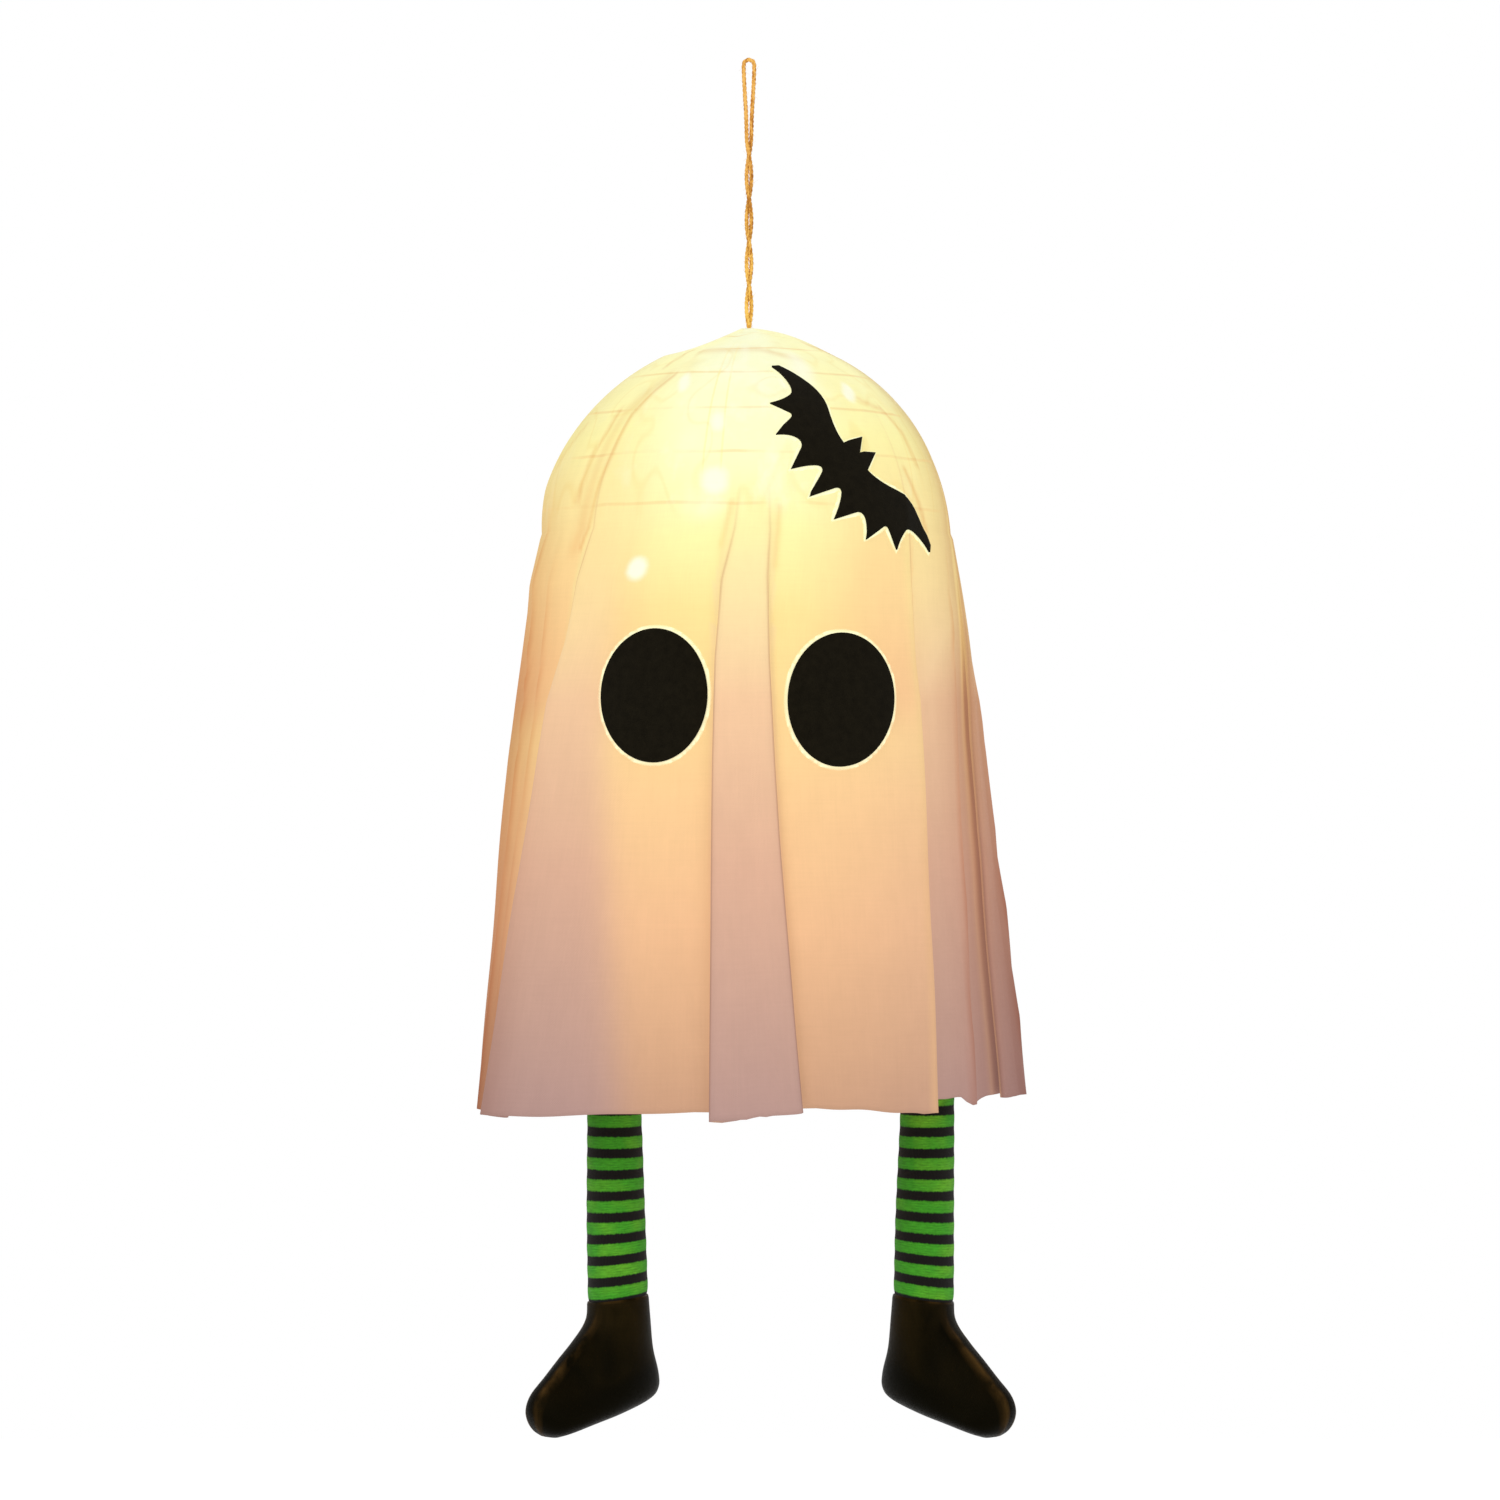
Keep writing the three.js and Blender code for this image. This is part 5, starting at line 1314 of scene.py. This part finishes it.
def make_felt(settings, cloth, cloth_thickness, felt, web):
    """Lays the eyes on the front of the cloth and the bat on its dome, each over its bonding web."""
    bpy.context.view_layer.update()
    corners, faces = [v.co for v in cloth.data.vertices], [p.vertices for p in cloth.data.polygons]
    tree = BVHTree.FromPolygons(corners, faces)

    def on_front(node, gap):
        centre = middle_of(node)

        def lay(a, b):
            start = Vector((centre.x + a, -0.4, centre.z + b))
            hit = tree.ray_cast(start, Vector((0, 1, 0)))[0]
            return hit + Vector((hit.x, hit.y, 0)).normalized() * gap
        return lay

    heart = Vector((0, 0, LANTERN.z))
    azimuth, latitude = settings.bat_azimuth, settings.bat_latitude
    level = Vector((math.cos(azimuth), math.sin(azimuth), 0))
    ahead = Vector((math.sin(azimuth), -math.cos(azimuth), 0))
    out = ahead * math.cos(latitude) + Vector((0, 0, math.sin(latitude)))
    up = out.cross(level)
    wing = level * math.cos(settings.bat_turn) - up * math.sin(settings.bat_turn)
    ears = out.cross(wing)

    def on_dome(_, gap):
        def lay(a, b):
            reach = math.hypot(a, b)
            aside = (wing * a + ears * b).normalized() if reach else wing
            way = out * math.cos(reach / CLOTH_RADIUS) + aside * math.sin(reach / CLOTH_RADIUS)
            return tree.ray_cast(heart + way * 0.3, -way)[0] + way * gap
        return lay

    web_thickness, clear = 0.25 * MM, 0.15 * MM
    base = cloth_thickness / 2 + clear
    oval = oval_outline(settings)
    pieces = []
    for node, outline, laid in (("left_eye", oval, on_front), ("right_eye", oval, on_front),
                                ("bat_patch", bat_outline(), on_dome)):
        top = laid(node, base + web_thickness + 0.1 * MM)
        patch = cut_felt(f"{node}_felt", outline, top, settings.thickness)
        pieces.append(dress(patch, "ghost", felt, "felt", node))
        film = cut_felt(f"{node}_web", grown(outline, settings.web), laid(node, base), web_thickness)
        pieces.append(dress(film, "ghost", web, "felt"))
    return pieces


# Lantern and battery box

PAPER_SAG = 1.2 * MM  # of the paper between two ribs
PAPER_THICKNESS = 0.35 * MM


def paper_profile():
    """Distance out and height above the lantern's middle, down the paper from ring to ring."""
    profile = []
    for k in range(RIB_COUNT + 1):
        for part in np.linspace(0, 1, 7, endpoint=False):
            reach = PAPER_RADIUS - PAPER_SAG * math.sin(math.pi * part) ** 0.7
            latitude = math.radians(MOUTH_LATITUDE - (k + part) * RIB_PITCH)
            profile.append((reach * math.cos(latitude), reach * math.sin(latitude)))
    end = math.radians(-MOUTH_LATITUDE)
    return [*profile, (PAPER_RADIUS * math.cos(end), PAPER_RADIUS * math.sin(end))]


def make_lantern(paper_finish, wire_finish, copper_finish, lamp_finish):
    turn = np.linspace(0, FULL_TURN, 120, endpoint=False)
    crimp = 1 + 0.0012 * np.sin(60 * turn)
    rings = [np.stack([r * crimp * np.sin(turn), -r * crimp * np.cos(turn), LANTERN.z + h + 0 * turn], 1)
             for r, h in paper_profile()]
    paper = loft("lantern_skin", rings, capped=False)
    skin = paper.modifiers.new("thickness", "SOLIDIFY")
    skin.thickness, skin.offset = PAPER_THICKNESS, -1
    dress(paper, "ghost", paper_finish, "paper", "lantern_paper")
    for name in (*(f"rib_{i + 1}" for i in range(RIB_COUNT)), "top_ring", "bottom_ring"):
        low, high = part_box(name)
        wire = high.z - low.z
        ring = wire_ring(f"{name}_wire", high.x - wire / 2, wire, (low.z + high.z) / 2)
        dress(ring, "ghost", wire_finish, "wire", name)
    finish_nodes(["stretcher", "leg_hanger", "left_hip_ring", "right_hip_ring"], wire_finish)
    finish_nodes(["lamp_string"], copper_finish)
    finish_nodes(LAMPS, lamp_finish)
    for name in LAMPS:
        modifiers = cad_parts[name].modifiers
        modifiers.new("join", "WELD").merge_threshold = 0.01 * MM
        drop = modifiers.new("drop", "SUBSURF")
        drop.levels = drop.render_levels = 1


def make_box(settings, metal):
    casing = plastic_material("casing", tuple(settings.casing), 1700, 0.42)
    knob = plastic_material("knob", linear(30, 30, 31), 1500, 0.45)
    finish_nodes(["battery_case", "battery_cover"], casing, bevel=0.3 * MM)
    finish_nodes(["switch_knob"], knob, bevel=0.25 * MM)
    for name, nub_up in (("battery_1", True), ("battery_2", False)):
        finish_nodes([name], cell_material(name, settings.wrap, nub_up))
    finish_nodes(["contact_bridge", "contact_1", "contact_2"], metal, bevel=0.1 * MM)
    finish_nodes(["contact_spring_1", "contact_spring_2"], metal)


# Legs

# Radius of a stocking in mm, by share of the way from the hip to the ankle.
STOCKING_RADII = [
    (0, 6), (0.03, 9.5), (0.12, 11.6), (0.35, 12.8), (0.62, 13.6), (0.85, 14.6), (1, 15), (1.03, 12.5),
]
ANKLE_RADIUS = 15 * MM
STOCKING_SIDES = 36
FIRST_STRIPE = 0.81  # share of a pair of stripes that is past at the ankle
# Rows of a boot in its own upright plane, in mm from the middle of the cuff: back forward, back up, front
# forward, front up and half width.
BOOT_ROWS = [
    (-15.4, 0, 15.4, 0, 15.4), (-17, -14, 16.7, -10, 15.4), (-19, -27, 24, -20, 15.4),
    (-22.6, -39, 33.7, -29.5, 15.8), (-23, -47, 42, -38, 16.2), (-17.5, -52.5, 49.7, -46, 17),
    (-1, -58, 52.2, -53, 17.4), (16, -62, 50.9, -59, 16), (29, -65.5, 47.7, -63.8, 11.5),
    (37, -67.6, 43.5, -66.8, 5),
]
BOOT_STEPS, BOOT_SIDES = 46, 44
LOOP_RADIUS = 0.9 * MM  # of the cord that a leg hangs by


def puffed(piece, held, pressure, furthest):
    """Blows a closed cloth form up a little with its held points fixed, and keeps the result as its mesh."""
    keep = piece.vertex_groups.new(name="held")
    keep.add(held, 1.0, "REPLACE")
    rest = np.array([v.co for v in piece.data.vertices])
    cloth = piece.modifiers.new("puff", "CLOTH")
    cloth.settings.quality = 5
    cloth.settings.mass = 0.1
    cloth.settings.tension_stiffness = cloth.settings.compression_stiffness = 30
    cloth.settings.bending_stiffness = 0.6
    cloth.settings.use_pressure = True
    cloth.settings.uniform_pressure_force = pressure
    cloth.settings.vertex_group_mass = "held"
    cloth.settings.effector_weights.gravity = 0
    cloth.collision_settings.use_collision = False
    scene = bpy.context.scene
    for moment in range(1, 15):
        scene.frame_set(moment)
    shape = piece.evaluated_get(bpy.context.evaluated_depsgraph_get()).to_mesh()
    moved = np.array([v.co for v in shape.vertices]) - rest
    piece.modifiers.remove(cloth)
    scene.frame_set(1)
    reach = np.linalg.norm(moved, axis=1)[:, None]
    moved *= np.minimum(1, furthest / np.maximum(reach, 1e-9))
    piece.data.vertices.foreach_set("co", (rest + moved).ravel())
    piece.data.update()


def softened(piece):
    more = piece.modifiers.new("soft", "SUBSURF")
    more.levels = more.render_levels = 1


def hip_and_ankle(side, settings):
    """The two ends of a leg's middle line."""
    node = f"{side}_stocking"
    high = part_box(node)[1]
    hip = Vector((middle_of(f"{side}_hip_ring").x, 0, high.z))
    return hip, Vector((middle_of(node).x, high.y - ANKLE_RADIUS, settings.ankle))


def make_stocking(side, settings, cuff_slope, finish):
    """A stuffed stocking. Its rings tilt towards the ankle until they lie along the boot's top edge."""
    node = f"{side}_stocking"
    hip, ankle = hip_and_ankle(side, settings)
    stripes = (hip - ankle).length / settings.stripe
    shares = np.concatenate([[0, 0.012, 0.03], np.linspace(0.05, 1, 92), [1.01, 1.02, 1.03]])
    turn = np.linspace(0, FULL_TURN, STOCKING_SIDES, endpoint=False)
    parts, radii = zip(*STOCKING_RADII)
    rings, down = [], []
    for part in shares:
        radius = float(np.interp(part, parts, radii)) * MM
        radius *= 1 + 0.012 * math.sin(part * stripes * FULL_TURN)
        middle = hip.lerp(ankle, part)
        tilt = math.tan(cuff_slope) * SIDES[side] * max(0, (part - 0.72) / 0.28)
        lump = 1 + 0.012 * np.sin(2 * turn + part * 9) + 0.008 * np.sin(3 * turn - part * 17)
        x, y = radius * np.cos(turn) * lump, radius * np.sin(turn) * lump
        rings.append(np.stack([middle.x + x, middle.y + y, middle.z - tilt * x], 1))
        down += [(part - 1) * stripes + FIRST_STRIPE] * STOCKING_SIDES
    piece = loft(f"{node}_knit", rings)
    mark(piece, "down", [*down, down[0], down[-1]])
    tips = len(rings) * STOCKING_SIDES
    puffed(piece, [*range(STOCKING_SIDES), *range(tips - STOCKING_SIDES, tips + 2)], 0.6, 0.7 * MM)
    softened(piece)
    dress(piece, f"{side}_leg", finish, "stocking", node)


def make_boot(side, ankle, settings, finish):
    """A stuffed boot with a seam ridge on both sides of its front and a shallow dent over the instep, marked
    for painted highlights and painted shade.
    """
    node = f"{side}_boot"
    forward = np.array([SIDES[side] * math.sin(settings.toe_out), -math.cos(settings.toe_out), 0])
    across = np.cross([0, 0, 1], forward)
    slope = math.tan(settings.cuff_slope) * SIDES[side]
    last = len(BOOT_ROWS) - 1
    places = np.linspace(0, last, BOOT_STEPS)
    starts = [min(int(at), last - 1) for at in places]
    rows = smooth_rows(BOOT_ROWS, [(k, at - k) for k, at in zip(starts, places)])
    turn = np.linspace(0, FULL_TURN, BOOT_SIDES, endpoint=False)
    rings, marks = [], {"ridge": [], "sole": [], "dent": []}
    for (back, back_up, front, front_up, half), at in zip(rows, places):
        part = (1 - np.cos(turn)) / 2
        pinch = 1 - 0.16 * part**3 * min(1, at / 2)
        ridge = bell(np.abs(np.abs(turn - math.pi) - 0.34), 0.07) * min(1, at / 2.5)
        reach = back + part * (front - back) + 0.7 * ridge
        height = back_up + part * (front_up - back_up)
        dent = bell(reach - 13, 5) * bell(height + 31, 11)
        wide = half * np.sin(turn) * pinch * (1 - 0.09 * dent)
        points = np.array(ankle) + MM * (reach[:, None] * forward + wide[:, None] * across)
        cuff = max(0, 1 - at / 2) * slope * (points[:, 0] - ankle.x)
        points[:, 2] += (height - 0.3) * MM - cuff
        rings.append(points)
        # Marks for painted highlights on the ridges, painted shade under the boot and painted shadow in the
        # dent.
        marks["ridge"].extend(np.maximum(ridge, 0.5 * bell(at, 0.12)))
        marks["sole"].extend(np.clip(0.5 - (height + 32 + 0.31 * (reach + 18)) / 6, 0, 1))
        marks["dent"].extend(dent)
    piece = loft(f"{node}_shape", rings)
    for name, values in marks.items():
        mark(piece, name, [*values, 0, 1])
    puffed(piece, [*range(BOOT_SIDES), BOOT_STEPS * BOOT_SIDES], 0.9, 1.2 * MM)
    softened(piece)
    dress(piece, f"{side}_leg", finish, "boot", node)


def make_leg_loop(side, finish):
    """The thin cord that is sewn into the stocking and hangs over the hip ring."""
    node = f"{side}_leg_loop"
    low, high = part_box(node)
    hip = (low.x + high.x) / 2
    arch = (high.x - low.x) / 2 - LOOP_RADIUS
    top = high.z - LOOP_RADIUS - arch
    points = [(hip - arch, 0, low.z), (hip - arch, 0, (low.z + top) / 2)]
    for angle in np.linspace(math.pi, 0, 7):
        points.append((hip + arch * math.cos(angle), 0, top + arch * math.sin(angle)))
    points += [(hip + arch, 0, (low.z + top) / 2), (hip + arch, 0, low.z)]
    loop = rope(f"{node}_cord", curve_through(points, 150), LOOP_RADIUS, plies=2, lay=4 * MM, sides=16)
    dress(loop, f"{side}_leg", finish, "loop_cord", node)


# Stage

LAMP_WIDTH = 1.6


def seen_share(n):
    """1 for a ray of the camera, also by way of a shiny or clear surface, and 0 for the others."""
    path = n.add("ShaderNodeLightPath").outputs
    direct = n.math("MAXIMUM", path["Is Camera Ray"], path["Is Glossy Ray"])
    return n.math("MAXIMUM", direct, path["Is Transmission Ray"])


def floor_material():
    """A white floor that shines a little where the camera sees it, more so further out."""
    made, n, shader = material("floor", roughness=0.9, specular_ior_level=0.1)
    n.feed(shader["Base Color"], n.grey(n.span(n.noise(n.place(), 40, 3), 0.3, 0.7, 0.985, 1.0)))
    n.feed(shader["Emission Color"], (1, 1, 1))
    x, y, _ = n.split(n.place())
    n.feed(shader["Emission Strength"], n.times(seen_share(n), n.span(n.across(x, y), 0.5, 1.1, 0.28, 0.6)))
    return made


def make_stage(settings):
    scene = bpy.context.scene
    camera = bpy.data.objects.new("camera", bpy.data.cameras.new("camera"))
    scene.collection.objects.link(camera)
    camera.location = (settings.aside, -settings.distance, settings.height)
    camera.rotation_euler = (math.radians(90), 0, 0)
    camera.data.lens = camera.data.sensor_width * settings.distance / settings.width
    camera.data.clip_end = 50
    scene.camera = camera
    floor = mesh_object("floor", [(-9, -9, 0), (9, -9, 0), (9, 9, 0), (-9, 9, 0)], [(0, 1, 2, 3)])
    floor.location.z = settings.floor
    floor.data.materials.append(floor_material())
    aim = Vector((0, 0, -0.34))
    lamps = (
        ("key_lamp", (-1.3, -2.3, 0.7), 1),
        ("fill_lamp", (1.6, -1.9, -0.2), 0.5),
        ("back_lamp", (0.4, 2.2, 0.8), 0.7),
    )
    for name, place, share in lamps:
        data = bpy.data.lights.new(name, "AREA")
        data.shape, data.size, data.energy = "DISK", LAMP_WIDTH, share * settings.key
        lamp = bpy.data.objects.new(name, data)
        lamp.location = place
        lamp.rotation_euler = (aim - Vector(place)).to_track_quat("-Z", "Y").to_euler()
        scene.collection.objects.link(lamp)
    world = bpy.data.worlds.new("sky")
    scene.world = world
    world.use_nodes = True
    n = Nodes(world.node_tree)
    sky = world.node_tree.nodes["Background"].inputs
    n.feed(sky["Color"], (1, 1, 1))
    n.feed(sky["Strength"], n.span(seen_share(n), 0, 1, settings.sky, 1.0))
    scene.view_settings.view_transform = "Standard"


# Operators

class GHOST_OT_stage(bpy.types.Operator):
    """Set the camera, the floor, the soft lamps and the white surroundings"""
    bl_idname = "ghost.stage"
    bl_label = "Stage"

    def execute(self, context):
        make_stage(context.scene.ghost_stage)
        return {"FINISHED"}


class GHOST_OT_twine(bpy.types.Operator):
    """Lay the twine loop, its stopper knot and its loose fibres"""
    bl_idname = "ghost.twine"
    bl_label = "Twine"

    def execute(self, context):
        settings = context.scene.ghost_twine
        make_twine(settings, twine_material(settings))
        return {"FINISHED"}


class GHOST_OT_cloth(bpy.types.Operator):
    """Drape the cloth over the lantern"""
    bl_idname = "ghost.cloth"
    bl_label = "Cloth"

    def execute(self, context):
        settings = context.scene.ghost_cloth
        make_cloth(settings, cloth_material(settings))
        return {"FINISHED"}


class GHOST_OT_felt(bpy.types.Operator):
    """Fix the felt eyes and the felt bat to the cloth, which has to be there"""
    bl_idname = "ghost.felt"
    bl_label = "Felt"

    def execute(self, context):
        settings, thickness = context.scene.ghost_felt, context.scene.ghost_cloth.thickness
        cloth = bpy.data.objects["ghost_cloth_sheet"]
        declare_sheet(cloth, make_felt(settings, cloth, thickness, felt_material(settings), web_material()))
        return {"FINISHED"}


class GHOST_OT_lantern(bpy.types.Operator):
    """Make the paper skin and its rings, and finish the wires and the lamps"""
    bl_idname = "ghost.lantern"
    bl_label = "Lantern"

    def execute(self, context):
        settings = context.scene.ghost_lantern
        wire = metal_material("wire", linear(190, 190, 188), linear(150, 150, 150), 0.32)
        copper = metal_material("copper", linear(226, 152, 96), linear(176, 104, 60), 0.3)
        make_lantern(paper_material(settings), wire, copper, lamp_material(settings))
        return {"FINISHED"}


class GHOST_OT_battery_box(bpy.types.Operator):
    """Finish the battery box, its switch, its cells and its contacts"""
    bl_idname = "ghost.battery_box"
    bl_label = "Battery Box"

    def execute(self, context):
        nickel = metal_material("nickel", linear(214, 213, 208), linear(170, 168, 162), 0.25)
        make_box(context.scene.ghost_box, nickel)
        return {"FINISHED"}


class GHOST_OT_stockings(bpy.types.Operator):
    """Knit and stuff both stockings"""
    bl_idname = "ghost.stockings"
    bl_label = "Stockings"

    def execute(self, context):
        settings, slope = context.scene.ghost_stockings, context.scene.ghost_boots.cuff_slope
        knit = stocking_material(settings)
        for side in SIDES:
            make_stocking(side, settings, slope, knit)
        return {"FINISHED"}


class GHOST_OT_boots(bpy.types.Operator):
    """Make and stuff both boots"""
    bl_idname = "ghost.boots"
    bl_label = "Boots"

    def execute(self, context):
        settings = context.scene.ghost_boots
        coated = boot_material(settings)
        for side in SIDES:
            _, ankle = hip_and_ankle(side, context.scene.ghost_stockings)
            make_boot(side, ankle, settings, coated)
        return {"FINISHED"}


class GHOST_OT_leg_loops(bpy.types.Operator):
    """Make the cords that the legs hang by"""
    bl_idname = "ghost.leg_loops"
    bl_label = "Leg Loops"

    def execute(self, context):
        white = cord_material()
        for side in SIDES:
            make_leg_loop(side, white)
        return {"FINISHED"}


# Each operator with its group of settings, in the order in which the pieces are made.
PIECES = [
    (GHOST_OT_stage, "ghost_stage"),
    (GHOST_OT_twine, "ghost_twine"),
    (GHOST_OT_cloth, "ghost_cloth"),
    (GHOST_OT_felt, "ghost_felt"),
    (GHOST_OT_lantern, "ghost_lantern"),
    (GHOST_OT_battery_box, "ghost_box"),
    (GHOST_OT_stockings, "ghost_stockings"),
    (GHOST_OT_boots, "ghost_boots"),
    (GHOST_OT_leg_loops, None),
]


class GHOST_PT_panel(bpy.types.Panel):
    """Lists the ghost's pieces and their settings"""
    bl_idname = "GHOST_PT_panel"
    bl_label = "Hanging Ghost"
    bl_space_type = "VIEW_3D"
    bl_region_type = "UI"
    bl_category = "Ghost"

    def draw(self, context):
        for operator, name in PIECES:
            box = self.layout.box()
            box.operator(operator.bl_idname)
            if name:
                settings = getattr(context.scene, name)
                for setting in settings.bl_rna.properties:
                    if setting.identifier not in ("rna_type", "name"):
                        box.prop(settings, setting.identifier)


SETTINGS = {
    "ghost_stage": StageSettings,
    "ghost_twine": TwineSettings,
    "ghost_cloth": ClothSettings,
    "ghost_felt": FeltSettings,
    "ghost_lantern": LanternSettings,
    "ghost_box": BoxSettings,
    "ghost_stockings": StockingSettings,
    "ghost_boots": BootSettings,
}
CLASSES = [*SETTINGS.values(), *(operator for operator, _ in PIECES), GHOST_PT_panel]


def register():
    for cls in CLASSES:
        bpy.utils.register_class(cls)
    for name, cls in SETTINGS.items():
        setattr(bpy.types.Scene, name, PointerProperty(type=cls))


def unregister():
    for name in SETTINGS:
        delattr(bpy.types.Scene, name)
    for cls in reversed(CLASSES):
        bpy.utils.unregister_class(cls)


def main():
    register()
    bpy.ops.ghost.stage()
    bpy.ops.ghost.twine()
    bpy.ops.ghost.cloth()
    bpy.ops.ghost.felt()
    bpy.ops.ghost.lantern()
    bpy.ops.ghost.battery_box()
    bpy.ops.ghost.stockings()
    bpy.ops.ghost.boots()
    bpy.ops.ghost.leg_loops()


if __name__ == "__main__":
    main()
